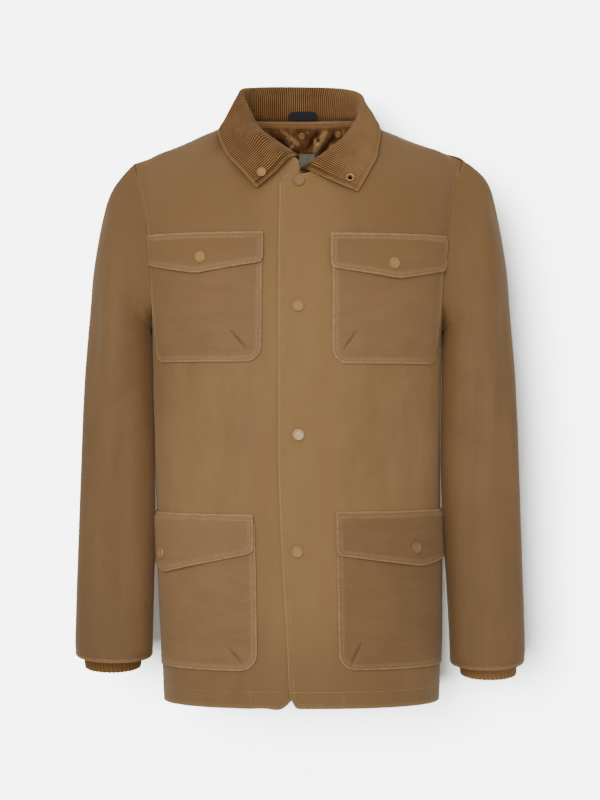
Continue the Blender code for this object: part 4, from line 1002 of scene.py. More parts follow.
def whole(node):
    """The whole of a CAD solid, as a bmesh of quads."""
    cloth = bmesh.new()
    cloth.from_mesh(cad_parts[node].data)
    bmesh.ops.remove_doubles(cloth, verts=cloth.verts, dist=0.01 * MM)
    bmesh.ops.join_triangles(
        cloth, faces=cloth.faces, angle_face_threshold=math.pi, angle_shape_threshold=math.pi
    )
    cloth.normal_update()
    return cloth


def ridged(name, node, rise, levels):
    """A ribbed piece, with a mark of 1 on its ribs, 0 between them and 0.5 elsewhere."""
    cloth = whole(node)
    ridge = []
    for vertex in cloth.verts:
        around = [edge.other_vert(vertex).co for edge in vertex.link_edges]
        beside = [place for place in around if (place - vertex.co).length < ACROSS]
        rise_here = sum((vertex.co - place).dot(vertex.normal) for place in beside)
        ridge.append(0.5 if len(beside) != 2 else 1.0 if rise_here > 0.0 else 0.0)
    ridge = np.array(ridge)
    normals = [vertex.normal.copy() for vertex in cloth.verts]
    for vertex, normal, share in zip(cloth.verts, normals, ridge):
        vertex.co += normal * (rise * MM if share == 1.0 else 0.0)
    mesh = bpy.data.meshes.new(name)
    cloth.to_mesh(mesh)
    cloth.free()
    mark(mesh, "ridge", ridge)
    piece = add_piece(name, mesh)
    smooth = piece.modifiers.new("round", "SUBSURF")
    smooth.levels = smooth.render_levels = levels
    apply_modifiers(piece)
    piece.data.shade_smooth()
    shares = [round(float((ridge == kind).mean()), 2) for kind in (0.0, 0.5, 1.0)]
    print(name, len(piece.data.polygons), "faces; between ribs, plain, on ribs:", shares)
    return piece


cuffs = {side: ridged("rib_cuff_" + word, "cuff_" + word, 0.25, 2) for side, word in WORDS.items()}

# %% [markdown]
# ## Inside the neck
# The lining is a thin, slippery satin that never lies quite flat. Only its inner side shows, so
# that side is rounded and given a handful of wrinkles. They fade towards the label and the
# locker loop, which are sewn down on it.

# %% Make the lining, the label and the loop
# Columns: start (x, z), end (x, z), depth (towards the neck is positive), width.
LINING_FOLDS = (
    ((57.0, -3.0), (28.0, -36.0), 1.7, 3.6),
    ((47.0, 4.0), (20.0, -32.0), -1.5, 3.2),
    ((36.0, 8.0), (15.0, -24.0), 1.6, 3.2),
    ((26.0, 9.0), (8.0, -16.0), -1.2, 2.8),
    ((66.0, -12.0), (38.0, -50.0), -1.6, 4.2),
    ((-52.0, 2.0), (-12.0, -32.0), 1.3, 4.4),
    ((-40.0, 6.0), (-2.0, -24.0), -1.1, 3.6),
    ((-24.0, 9.0), (0.0, -12.0), 1.1, 3.4),
    ((-60.0, -10.0), (-18.0, -48.0), -1.2, 4.6),
    ((-30.0, -34.0), (-8.0, -62.0), 1.4, 4.4),
    ((44.0, -40.0), (26.0, -70.0), 1.5, 4.6),
    ((-40.0, -78.0), (20.0, -96.0), 0.9, 8.0),
    ((18.0, 3.0), (22.0, -14.0), 1.5, 2.2),
    ((30.0, -2.0), (19.0, -9.0), -1.3, 2.0),
    ((40.0, -10.0), (44.0, -24.0), 1.2, 2.4),
    ((-8.0, -8.0), (-18.0, -22.0), 1.3, 2.2),
    ((-2.0, -14.0), (-6.0, -30.0), -1.2, 2.4),
    ((-22.0, -4.0), (-34.0, -13.0), -1.3, 2.4),
    ((14.0, -16.0), (6.0, -24.0), 1.2, 2.0),
)
# Columns: x, z, radius of a round place without wrinkles.
QUIET = (
    (9.5, -34.0, 15.0),
    (9.5, -42.0, 15.0),
    (2.7, 2.0, 6.5),
    (52.0, 3.0, 6.5),
    (4.0, 27.0, 20.0),
)
WRINKLED = 1.3  # how many times the table's depths the wrinkles get
TOWARDS_NECK = Vector((0.0, -1.0, 0.0))
lining = rounded("satin_lining", one_face("lining", TOWARDS_NECK), 4)
points = coordinates(lining.data)
places = points[:, [0, 2]] / MM
hold = smooth_step(distances(points, rim_points(lining.data)), 0.0, 6.0 * MM)
for x, z, radius in QUIET:
    away = np.hypot(places[:, 0] - x, places[:, 1] - z)
    hold *= smooth_step(away, 0.8 * radius, 1.5 * radius)
moved = WRINKLED * folds_at(places, LINING_FOLDS, OPEN) * hold
# Towards its ends the lining is held clear of the back.
clear = np.maximum(moved, -0.3) + 1.3 * smooth_step(np.abs(places[:, 0]), 66.0, 84.0)
set_coordinates(lining.data, points + normals_of(lining.data) * (clear * MM)[:, None])
# How high on a wrinkle each point lies, which the satin paints as highlight and shade.
mark(lining.data, "fold_light_and_shade", np.clip(0.5 + moved / 2.4, 0.0, 1.0))
mark(lining.data, "band", smooth_step(places[:, 1], 10.5, 12.0))
thicken(lining, 0.9, False)

label = rounded("bare_label", one_face("label", TOWARDS_NECK), 3)
thicken(label, 0.9, False, 0.25)
loop = rounded("tape_loop", one_face("locker_loop", TOWARDS_NECK), 2)
thicken(loop, 1.2, False, 0.3)
for piece in (lining, label, loop):
    print(piece.name, len(piece.data.vertices), "points")

# %% [markdown]
# ## Snaps
# A snap's cap is a pressed disc with a rolled rim and a dished middle, no thicker than a coin.
# Its profile is spun about its axis. The solid of each snap says where it sits and which way it
# faces: a disc is thinnest along its axis.

# %% Spin the snaps
# Columns: share of the radius, share of the height.
CAP = (
    (1.0, 0.0), (1.0, 0.42), (0.965, 0.8), (0.88, 1.0), (0.8, 0.9),
    (0.74, 0.66), (0.6, 0.6), (0.3, 0.66), (0.0, 0.7),
)
CAP_SIDES = 48


def disc_of(node):
    """Where a CAD disc stands: the middle of its foot, its axis, radius and height."""
    points = np.unique(np.round(coordinates(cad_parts[node].data), 6), axis=0)
    middle = points.mean(axis=0)
    axis = np.linalg.svd(points - middle, full_matrices=False)[2][2]
    axis = axis if axis[1] < 0 else -axis
    along = (points - middle) @ axis
    radius = np.linalg.norm(points - middle - along[:, None] * axis, axis=1).max()
    return middle + axis * along.min(), axis, radius, along.max() - along.min()


def turned(name, profile, foot, axis, radius, height):
    """A profile spun about an axis."""
    cap = bmesh.new()
    line = [cap.verts.new((share * radius, 0.0, rise * height)) for share, rise in profile]
    edges = [cap.edges.new(pair) for pair in zip(line, line[1:])]
    bmesh.ops.spin(
        cap, geom=line + edges, cent=(0, 0, 0), axis=(0, 0, 1),
        angle=math.tau, steps=CAP_SIDES, use_merge=True,
    )
    bmesh.ops.remove_doubles(cap, verts=cap.verts, dist=0.01 * MM)
    open_edges = [edge for edge in cap.edges if edge.is_boundary]
    if open_edges:
        bmesh.ops.holes_fill(cap, edges=open_edges, sides=0)
    bmesh.ops.recalc_face_normals(cap, faces=cap.faces)
    turn = Vector((0, 0, 1)).rotation_difference(Vector(axis)).to_matrix().to_4x4()
    bmesh.ops.transform(cap, matrix=Matrix.Translation(Vector(foot)) @ turn, verts=cap.verts)
    mesh = bpy.data.meshes.new(name)
    cap.to_mesh(mesh)
    cap.free()
    mesh.shade_smooth()
    return add_piece(name, mesh)


snaps = {}
for node in sorted(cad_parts):
    if node.startswith("snap_"):
        snaps[node] = turned(node.replace("snap", "cap"), CAP, *disc_of(node))
print(len(snaps), "snaps")

# %% [markdown]
# The eyelet is a ring: its profile closes on itself, clear of the axis, so the same spin leaves
# a hole in its middle.

# %% Spin the eyelet
HOLE = 0.56  # the hole's share of the radius
RING = (
    (HOLE, 0.0), (1.0, 0.0), (1.0, 0.5), (0.9, 0.95), (0.8, 1.0),
    (HOLE + 0.06, 0.7), (HOLE, 0.4), (HOLE, 0.0),
)
eyelet = turned("ring_eyelet", RING, *disc_of("eyelet_collar"))
print("eyelet", len(eyelet.data.vertices), "points")

# %% [markdown]
# ## Stitches
# Real stitches are short bars of thread that sink at both ends, so light catches each one. Each
# is one small, stretched ball, laid end to end along a line. The lines on the fronts and pockets
# are drawn on the chart; those along seams follow the edge of the panel, a little inside it.

# %% Lay stitches along a line
PITCH, THREAD_LONG, THREAD_WIDE = 4.0, 2.7, 0.85
THREAD_OUT = 0.15  # how far a stitch's middle lies off the cloth
PLACES_APART = 2.0


def walk(points, normals):
    """Even steps along a line: the middle of each stitch, its heading and its normal."""
    steps = np.linalg.norm(np.diff(points, axis=0), axis=1)
    along = np.concatenate([[0.0], np.cumsum(steps)]) / MM
    stops = np.arange(PITCH / 2.0, along[-1], PITCH)

    def spread(values, at):
        return np.stack([np.interp(at, along, column) for column in values.T], axis=1)

    middles = spread(points, stops)
    ahead = spread(points, stops + 0.5) - spread(points, stops - 0.5)
    return middles, ahead, spread(normals, stops)


def sew(name, lines):
    """One piece of thread for all the stitches of a part."""
    thread = bmesh.new()
    count = 0
    for points, normals in lines:
        if len(points) < 2:
            continue
        for middle, ahead, normal in zip(*walk(points, normals)):
            forward = Vector(ahead).normalized()
            out = Vector(normal).normalized()
            across = out.cross(forward).normalized()
            turn = Matrix((forward, across, forward.cross(across))).transposed().to_4x4()
            half = (THREAD_LONG / 2, THREAD_WIDE / 2, THREAD_WIDE / 2.4)
            size = Matrix.Diagonal((*half, 1 / MM)) * MM
            place = Matrix.Translation(Vector(middle) + out * THREAD_OUT * MM) @ turn @ size
            bmesh.ops.create_icosphere(thread, subdivisions=1, radius=1.0, matrix=place)
            count += 1
    mesh = bpy.data.meshes.new(name)
    thread.to_mesh(mesh)
    thread.free()
    mesh.shade_smooth()
    print(name, count, "stitches")
    return add_piece(name, mesh)


def dense(line):
    """More places along a flat line."""
    line = np.array(line, float)
    found = []
    for start, end in zip(line, line[1:]):
        count = max(int(np.linalg.norm(end - start) / PLACES_APART), 1)
        found += [start + (end - start) * k / count for k in range(count)]
    return np.array(found + [line[-1]])


def on_front(side, flat_line, height):
    """A flat line laid on a front. height is a number or a function of the places."""
    places = dense(flat_line)
    points, normals = charts[side].at(places)
    lift = height(places) if callable(height) else np.full(len(places), height)
    return points + normals * (lift * MM)[:, None], normals


trial = walk(*on_front(RIGHT, ((60.0, -400.0), (160.0, -400.0)), 0.0))
print("100 mm of seam takes", len(trial[0]), "stitches")

# %% [markdown]
# A pocket's row runs down one side, along the bottom and up the other, and leaves its mouth open.
# A flap's row goes the same way round its free edge, and two more hold it down along its top.

# %% Sew round the pockets and the flaps
EDGE_ROW = 2.0  # how far inside an edge its row runs
FLAP_ROWS = (EDGE_ROW, 7.6)  # how far below a flap's top edge its two rows run
threads = {}
for name, (side, sizes) in BAGS.items():
    lift = bag_surface(name)
    ring = inset(bag_outline(*sizes), EDGE_ROW)
    line = np.concatenate([ring[1:], ring[:1]])
    lines = [on_front(side, line, lambda places: lift(places) + BAG_WALL - BAG_UNDER)]
    threads[name] = sew("thread_" + name, lines)
for name, (side, sizes) in FLAPS.items():
    lift = flap_surface(name)
    values = dict(zip(FLAP_COLUMNS, sizes))
    ring = inset(flap_outline(*sizes), EDGE_ROW)
    line = np.concatenate([ring[1:], ring[:1]])
    rows = [line]
    for below in FLAP_ROWS:
        height = values["top"] - below
        rows.append(((values["inner"] + EDGE_ROW, height), (values["outer"] - EDGE_ROW, height)))
    top = lambda places: lift(places) + FLAP_WALL - FLAP_UNDER
    lines = [on_front(side, row, top) for row in rows]
    threads[name] = sew("thread_" + name, lines)

# %% [markdown]
# Other rows follow a seam. Such a row is found from the panel itself: its open edge is walked
# round, and each of its points is moved inwards on the cloth. The walk starts at the edge's most
# sideways point, so that the stitches fall in the same places on each run.

# %% Find lines beside an edge
def spot_of(vertex):
    return tuple(vertex.co)


def rim_lines(mesh):
    """The panel's open edge, as closed lines of points."""
    cloth = bmesh.new()
    cloth.from_mesh(mesh)
    left = {edge for edge in cloth.edges if edge.is_boundary}
    found = []
    while left:
        edge = min(left, key=lambda edge: sorted(map(spot_of, edge.verts)))
        left.discard(edge)
        line = sorted(edge.verts, key=spot_of)
        while True:
            onward = [other for other in line[-1].link_edges if other in left]
            if not onward:
                break
            left.discard(onward[0])
            line.append(onward[0].other_vert(line[-1]))
        found.append(np.array([vertex.co for vertex in line]))
    cloth.free()
    return found


def beside_edge(panel, keep, distance):
    """Lines that run inside a panel's edge, wherever keep says yes to an edge point."""
    tree = tree_of(panel.data)
    lines = []
    for line in rim_lines(panel.data):
        ring = line[:-1] if np.allclose(line[0], line[-1]) else line
        ahead = np.roll(ring, -2, axis=0) - np.roll(ring, 2, axis=0)
        kept, run = [], []
        wanted = [bool(keep(*(point / MM))) for point in ring]
        start = wanted.index(False) if False in wanted else 0
        order = [(start + k) % len(ring) for k in range(len(ring))]
        for k in order:
            if not wanted[k]:
                if len(run) > 3:
                    kept.append(run)
                run = []
                continue
            point = Vector(ring[k])
            _, normal, _, _ = tree.find_nearest(point)
            inward = normal.cross(Vector(ahead[k])).normalized() * distance * MM
            best = None
            for way in (inward, -inward):
                spot, facing, _, _ = tree.find_nearest(point + way)
                off = (spot - point - way).length
                if best is None or off < best[0]:
                    best = (off, spot, facing)
            run.append((best[1], best[2]))
        if len(run) > 3:
            kept.append(run)
        for run in kept:
            spots, facings = zip(*run)
            lines.append((np.array(spots), np.array(facings)))
    return lines


for name, panel in panels.items():
    print(name, "has", len(rim_lines(panel.data)), "open edges")

# %% [markdown]
# The hem is turned up and sewn down. On the fronts its row is straight, and on the back it
# follows the edge. The armholes, the front edge and the ends of the sleeves have rows close
# beside them, and a short upright row shows where each front's facing ends.

# %% Sew the panels
HEM_UP, HEM_ROW = 18.0, -715.0  # the hem's stitches: above the edge behind, at one height in front
HEM_STARTS = {RIGHT: 22.0, LEFT: -14.0}  # how far from the coat's middle
HEM_REACH = 292.0
FACING_ENDS = {RIGHT: -62.0, LEFT: 55.0}


def down_front(panel, x):
    """A straight line from the hem's stitches to its edge, where rays from ahead meet the panel."""
    tree = tree_of(panel.data)
    starts = [Vector((x, -300.0, z)) * MM for z in np.arange(HEM_ROW - 2.0, HEM_ROW - 26.0, -1.5)]
    hits = [tree.ray_cast(start, Vector((0.0, 1.0, 0.0)), 0.5) for start in starts]
    hits = [hit for hit in hits if hit[0]]
    return np.array([hit[0] for hit in hits]), np.array([hit[1] for hit in hits])


for name, panel in panels.items():
    side = RIGHT if "right" in name else LEFT
    if name == "back":
        lines = beside_edge(panel, lambda x, y, z: z < -722.0, HEM_UP)
    elif name.startswith("front"):
        lines = [on_front(side, ((HEM_STARTS[side], HEM_ROW), (HEM_REACH, HEM_ROW)), 0.0)]
        lines += beside_edge(panel, lambda x, y, z: side * x > 150.0 and z > -262.0, 4.0)
        if name == "front_left":
            lines += beside_edge(panel, lambda x, y, z: x < 30.0 and y < -90.0, 5.0)
        lines.append(down_front(panel, FACING_ENDS[side]))
    else:
        lines = beside_edge(panel, lambda x, y, z: z < -640.0, 2.2)
    threads[name] = sew("thread_" + name, lines)

# %% [markdown]
# ## Writing materials as sums
# Most of a cloth's look is arithmetic on a few patterns. One small class wraps a socket, so that
# a sum written in Python adds its own Math nodes, and one method adds any other node.

# %% A socket that takes part in sums
class Value:
    """A node's output."""

    def __init__(self, recipe, socket):
        self.recipe, self.socket = recipe, socket

    def _sum(self, operation, first, second=None):
        inputs = [first] if second is None else [first, second]
        return self.recipe.node("ShaderNodeMath", {"operation": operation}, inputs)

    def __add__(self, other):
        return self._sum("ADD", self, other)

    def __sub__(self, other):
        return self._sum("SUBTRACT", self, other)

    def __rsub__(self, other):
        return self._sum("SUBTRACT", other, self)

    def __mul__(self, other):
        return self._sum("MULTIPLY", self, other)

    __radd__, __rmul__ = __add__, __mul__

    def wave(self):
        return self._sum("SINE", self)

    def size(self):
        return self._sum("ABSOLUTE", self)

    def between(self, start, end):
        """0 at start, 1 at end, smooth between them."""
        inputs = {"Value": self, "From Min": start, "From Max": end}
        settings = {"interpolation_type": "SMOOTHSTEP"}
        return self.recipe.node("ShaderNodeMapRange", settings, inputs)


class Recipe:
    """A material under construction."""

    def __init__(self, name):
        self.material = bpy.data.materials.new(name)
        self.material.use_nodes = True
        self.tree = self.material.node_tree
        self.shader = self.tree.nodes["Principled BSDF"]
        self.place = self.node("ShaderNodeTexCoord", output="Object")

    def node(self, kind, settings=None, inputs=(), output=0):
        made = self.tree.nodes.new(kind)
        for name, value in (settings or {}).items():
            setattr(made, name, value)
        pairs = inputs.items() if isinstance(inputs, dict) else enumerate(inputs)
        for name, value in pairs:
            self.put(made.inputs[name], value)
        return Value(self, made.outputs[output])

    def put(self, socket, value):
        if isinstance(value, Value):
            self.tree.links.new(value.socket, socket)
        else:
            socket.default_value = value

    def set(self, **values):
        for name, value in values.items():
            self.put(self.shader.inputs[name.replace("_", " ")], value)
        return self

    def stretched(self, scale):
        return self.node("ShaderNodeVectorMath", {"operation": "MULTIPLY"}, [self.place, scale])

    def noise(self, scale, detail=3.0, roughness=0.55, place=None):
        inputs = {"Vector": place or self.place, "Scale": scale}
        inputs.update({"Detail": detail, "Roughness": roughness})
        return self.node("ShaderNodeTexNoise", {}, inputs)

    def part(self, axis):
        return self.node("ShaderNodeSeparateXYZ", {}, [self.place], output=axis)

    def away_from(self, point):
        settings = {"operation": "DISTANCE"}
        return self.node("ShaderNodeVectorMath", settings, [self.place, tuple(point)], output=1)

    def attribute(self, name):
        return self.node("ShaderNodeAttribute", {"attribute_name": name}, output="Fac")

    def mix(self, share, first, second):
        """A colour that goes from the first to the second with the share."""
        inputs = {0: share, 6: first, 7: second}
        return self.node("ShaderNodeMix", {"data_type": "RGBA"}, inputs, output=2)

    def bumped(self, height, strength, distance):
        inputs = {"Height": height, "Strength": strength, "Distance": distance * MM}
        return self.node("ShaderNodeBump", {}, inputs)


def paint(red, green, blue, bright=1.0):
    """A colour from its usual 0 to 255 values."""
    linear = [((value / 255.0 + 0.055) / 1.055) ** 2.4 for value in (red, green, blue)]
    return (*[min(bright * value, 1.0) for value in linear], 1.0)


print("mid grey is", [round(value, 3) for value in paint(128, 128, 128)])

# %% [markdown]
# ## Waxed cotton
# Wax leaves the cloth matt and a little uneven: yellower down the front, and paler and drier along
# every folded edge and row of stitches, where it has rubbed off. A darker brown is mixed in low
# down, so the sleeves are darkest low down and on the coat's right, and the body is at its hem.
# Its plain weave is finer than a pixel, so it shows as a faint grain. All of it reads Object
# coordinates, so the grain keeps one size on every panel.

# %% Mix the waxed cotton
# The second colour is painted shade, for creases and for the shaded sides of sewn-on pieces.
DARK_BROWN, PAINTED_SHADE_COLOUR = paint(104, 75, 43), paint(62, 42, 24)


def waxed_cotton(name, main, deep, worn, streak, warm_middle=0.0, dark_below=0.0, dark_hem=0.0):
    """A waxed cotton. streak stretches its patches; the rest are strengths of wider shades."""
    recipe = Recipe(name)
    clouds = recipe.noise(7.0, 4.0, 0.6).between(0.36, 0.66)
    patches = recipe.noise(38.0, 5.0, 0.65, recipe.stretched(streak)).between(0.3, 0.72)
    colour = recipe.mix(clouds * 0.5 + patches * 0.55, deep, main)
    # Painted shade: the chest and shoulders are mixed darker and browner.
    high = recipe.part("Z").between(-0.3, -0.1)
    colour = recipe.mix(high * 0.75, colour, paint(128, 92, 48))
    # A darker brown low on the sleeves and on the coat's right sleeve.
    if dark_below:
        below = 1.0 - recipe.part("Z").between(-0.66, -0.2)
        aside = 1.0 - recipe.part("X").between(-0.27, -0.12)
        colour = recipe.mix(below * dark_below + aside * 0.2, colour, DARK_BROWN)
    if warm_middle:
        middle = 1.0 - recipe.part("X").size().between(0.022, 0.075)
        colour = recipe.mix(middle * warm_middle, colour, paint(164, 126, 70))
    # A darker brown towards the hem.
    if dark_hem:
        low = 1.0 - recipe.part("Z").between(-0.74, -0.56)
        colour = recipe.mix(low * dark_hem, colour, DARK_BROWN)
    rubbed = recipe.noise(260.0, 3.0, 0.7).between(0.38, 0.66)
    wear = recipe.attribute("worn") * (0.4 + rubbed * 0.6)
    colour = recipe.mix(wear, colour, worn)
    # Painted shade in the darts' creases and along the shaded sides of pockets and flaps.
    colour = recipe.mix(recipe.attribute("painted_shade") * 0.75, colour, PAINTED_SHADE_COLOUR)
    threads_up = (recipe.part("X") * 7200.0).wave() * (recipe.part("Z") * 7200.0).wave()
    fine = recipe.noise(1500.0, 2.0, 0.5)
    colour = recipe.mix(0.1, colour, recipe.mix(fine, paint(60, 42, 24), paint(214, 180, 138)))
    weave = threads_up * 0.25 + fine + recipe.noise(420.0, 4.0, 0.6, recipe.stretched(streak)) * 0.8
    recipe.set(
        Base_Color=colour,
        Roughness=0.62 + clouds * 0.1 + wear * 0.08,
        Normal=recipe.bumped(weave, 0.5, 0.16),
        Specular_IOR_Level=0.32,
        Sheen_Weight=0.3,
        Sheen_Roughness=0.5,
        Sheen_Tint=(0.9, 0.7, 0.48, 1.0),
    )
    return recipe.material


LEVEL = (0.5, 0.5, 1.6)  # patches that lie level, as on cloth cut across

body_cotton = waxed_cotton(
    "waxed_cotton_body", paint(155, 119, 74), paint(139, 103, 60), paint(192, 158, 110),
    streak=(1.0, 1.0, 0.3), warm_middle=0.4, dark_hem=0.45,
)
# The sleeves' cotton is the same cloth, mixed darker than the body's: painted shade.
shaded_sleeve_cotton = waxed_cotton(
    "waxed_cotton_sleeve", paint(142, 106, 67), paint(124, 90, 54), paint(186, 150, 106),
    streak=(1.6, 1.6, 0.22), dark_below=0.3,
)
pocket_cotton = waxed_cotton(
    "waxed_cotton_pocket", paint(151, 114, 72), paint(135, 99, 60), paint(192, 156, 112), LEVEL
)
# A darker copy of the pocket cotton: painted shade for the lower left pocket and its flap.
shaded_pocket_cotton = waxed_cotton(
    "waxed_cotton_lower_left_shaded", paint(134, 99, 60), paint(118, 85, 49), paint(184, 146, 100), LEVEL
)
flap_cotton = waxed_cotton(
    "waxed_cotton_flap", paint(153, 116, 73), paint(138, 103, 61), paint(192, 157, 112), LEVEL
)
print("waxed cottons:", [made.name for made in bpy.data.materials if made.name.startswith("waxed")])

# %% [markdown]
# ## Corduroy and rib
# Corduroy's cords are cut pile, so they take the light softly, and almost none gets down between
# them. So shade is painted between the cords and a highlight on their crests, where the mark that
# each point got says they are. The leaf on the coat's left is paler, and the eyelet's hole is
# painted dark, as painted shade. The rib knit is the same recipe, with less between its colours,
# so its painted shade between the ribs is weaker.

# %% Mix the corduroy and the rib
PALE_FROM, PALE_TO = 0.01, 0.09  # how far to the coat's left the paler leaf begins


def pile(name, valley, ridge, tip, fuzz, hole=None):
    """A ridged cloth, whose three colours go from low to high: painted shade between the ridges, a
    painted highlight on them. hole is a middle and a radius, painted dark as shade.
    """
    recipe = Recipe(name)
    height = recipe.attribute("ridge")
    clouds = recipe.noise(46.0, 5.0, 0.75).between(0.38, 0.62)
    fibres = recipe.noise(1400.0, 3.0, 0.7)
    # Painted shade between the ridges, and a painted highlight on their crests.
    colour = recipe.mix(height.between(0.08, 0.72), valley, ridge)
    colour = recipe.mix(height.between(0.55, 1.0) * (0.25 + clouds * 0.55), colour, tip)
    colour = recipe.mix(fibres.between(0.35, 0.65) * 0.25, colour, valley)
    colour = recipe.mix(recipe.attribute("worn") * 0.6, colour, paint(176, 140, 96))
    left_side = recipe.part("X").between(PALE_FROM, PALE_TO)
    colour = recipe.mix(left_side * 0.25, colour, paint(196, 152, 102))
    if hole:
        middle, radius = hole
        # The eyelet's hole is painted near black: painted shade.
        painted_hole_shade = recipe.away_from(middle).between(radius, 0.9 * radius)
        colour = recipe.mix(painted_hole_shade, colour, paint(12, 9, 6))
    recipe.set(
        Base_Color=colour,
        Roughness=0.88,
        Normal=recipe.bumped(fibres + clouds * 0.3, fuzz, 0.3),
        Specular_IOR_Level=0.2,
        Sheen_Weight=0.35,
        Sheen_Roughness=0.4,
        Sheen_Tint=(0.85, 0.66, 0.44, 1.0),
    )
    return recipe.material


foot, _, radius, _ = disc_of("eyelet_collar")
corduroy = pile(
    "wide_corduroy", paint(60, 35, 15), paint(143, 100, 54), paint(200, 152, 97),
    fuzz=0.9, hole=(foot, 0.6 * radius),
)
rib = pile("rib_knit", paint(110, 76, 38), paint(136, 98, 53), paint(150, 110, 61), fuzz=0.8)
print("made", corduroy.name, "and", rib.name)

# %% [markdown]
# ## Satin
# The lining is the one glossy cloth here. Its wrinkles get a painted highlight on their crests
# and painted shade in their troughs, on top of what the light makes, and a paler band with close
# rows of stitches runs along its top.

# %% Mix the satin
ROWS_APART = 0.003  # in metres

satin = Recipe("copper_satin")
waves = satin.noise(30.0, 4.0, 0.6).between(0.3, 0.7)
lines = satin.noise(2400.0, 1.0, 0.5, satin.stretched((1.0, 1.0, 0.08)))
crumple = satin.noise(95.0, 3.0, 0.6, satin.stretched((1.0, 1.0, 0.55)))
# Painted highlight on the wrinkles' crests and painted shade in their troughs, roughened by noise.
fold_light_and_shade = satin.attribute("fold_light_and_shade") + (crumple - 0.5) * 1.3
silk = satin.mix(waves, paint(116, 76, 43), paint(142, 97, 57))
silk = satin.mix(fold_light_and_shade.between(0.52, 0.95), silk, paint(206, 156, 104))
silk = satin.mix(1.0 - fold_light_and_shade.between(0.08, 0.48), silk, paint(72, 44, 22))
silk = satin.mix(satin.attribute("band") * 0.8, silk, paint(190, 142, 92))
rows = (satin.part("Z") * (math.tau / ROWS_APART)).wave().between(0.75, 1.0)
rows = rows * satin.attribute("band")
silk = satin.mix(rows * 0.6, silk, paint(92, 58, 30))
satin.set(
    Base_Color=silk,
    Roughness=0.22 + lines * 0.1,
    Normal=satin.bumped(lines + waves * 2.0 + crumple * 14.0, 0.5, 0.3),
    Specular_IOR_Level=0.8,
    Sheen_Weight=0.1,
)
print("satin has", len(satin.tree.nodes), "nodes")

# %% [markdown]
# ## Label, tape and thread
# The label is a pale plain weave and is left bare. The tape of the locker loop is a dull, dark
# twill, and the thread is a little paler than the cloth it holds.

# %% Mix the label, the tape and the thread
woven = Recipe("bare_label_cloth")
over = (woven.part("X") * 9000.0).wave() * (woven.part("Z") * 9000.0).wave()
faded = woven.noise(300.0).between(0.3, 0.7)
woven.set(
    Base_Color=woven.mix(faded, paint(158, 151, 134), paint(178, 171, 153)),
    Roughness=0.7,
    Normal=woven.bumped(over + woven.noise(1200.0), 0.5, 0.12),
    Specular_IOR_Level=0.3,
)

tape = Recipe("dark_tape")
twill = ((tape.part("X") + tape.part("Z")) * 5200.0).wave()
tape.set(
    Base_Color=tape.mix(twill.between(-1.0, 1.0), paint(22, 23, 30), paint(50, 52, 64)),
    Roughness=0.75,
    Normal=tape.bumped(twill, 0.5, 0.2),
    Specular_IOR_Level=0.3,
    Sheen_Weight=0.1,
)

thread_cotton = Recipe("waxed_thread")
soiled = thread_cotton.noise(60.0).between(0.35, 0.65)
thread_cotton.set(
    Base_Color=thread_cotton.mix(soiled, paint(150, 116, 76, 1.2), paint(196, 160, 112, 1.2)),
    Roughness=0.6,
    Normal=thread_cotton.bumped(thread_cotton.noise(3000.0), 0.3, 0.1),
    Specular_IOR_Level=0.35,
)
print("cloths:", len(bpy.data.materials))

# %% [markdown]
# ## Snap caps
# Most caps are enamelled in the coat's colour and have lost a little of it on their rims, where
# bare metal shows. The third one down the front has lost all of it.

# %% Mix the cap finishes
ALL_BARE = -0.5  # wear from which metal shows, so low that it shows everywhere


def enamel(name, coat, bare, bare_from):
    """Enamel over metal, which shows where the wear is more than bare_from."""
    recipe = Recipe(name)
    scratches = recipe.noise(900.0, 4.0, 0.7)
    worn = recipe.attribute("rim") * 0.55 + scratches * 0.6
    metal = worn.between(bare_from, bare_from + 0.12)
    soiled = recipe.mix(recipe.noise(400.0), coat, paint(150, 112, 72, 1.1))
    recipe.set(
        Base_Color=recipe.mix(metal, soiled, bare),
        Metallic=metal,
        Roughness=0.5 + scratches * 0.2,
        Normal=recipe.bumped(scratches, 0.2, 0.08),
    )
    return recipe.material


cap_enamel = enamel("cap_enamel", paint(190, 150, 84), paint(206, 168, 104), 0.8)
# Two caps take a darker enamel than the rest.
cap_darker = enamel("cap_darker", paint(142, 109, 68), paint(190, 150, 100), 0.9)
cap_metal = enamel("cap_metal", paint(176, 143, 98), paint(214, 186, 146), ALL_BARE)
cap_brass = enamel("cap_brass", paint(170, 136, 84), paint(204, 168, 110), ALL_BARE)
for node, cap in snaps.items():
    foot, _, radius, _ = disc_of(node)
    out = np.linalg.norm(coordinates(cap.data) - foot, axis=1) / radius
    mark(cap.data, "rim", smooth_step(out, 0.72, 0.98))
mark(eyelet.data, "rim", np.ones(len(eyelet.data.vertices)))
print("caps finished")

# %% [markdown]
# ## Seam allowances
# Panels that meet edge to edge leave a hair's width open between them, and light would pass. In a
# real seam the cloth goes on behind the stitches. So each panel's edge goes on here by about a
# millimetre and turns in. Then the panels get their thickness, and their edges the pale line
# where the wax has rubbed off, which is weaker along the armholes.

# %% Turn the panels' edges in
SHELL_THICK = 1.2
MARGIN = (1.1, 0.5)  # how far a panel's edge goes on past its seam, and how deep, in mm


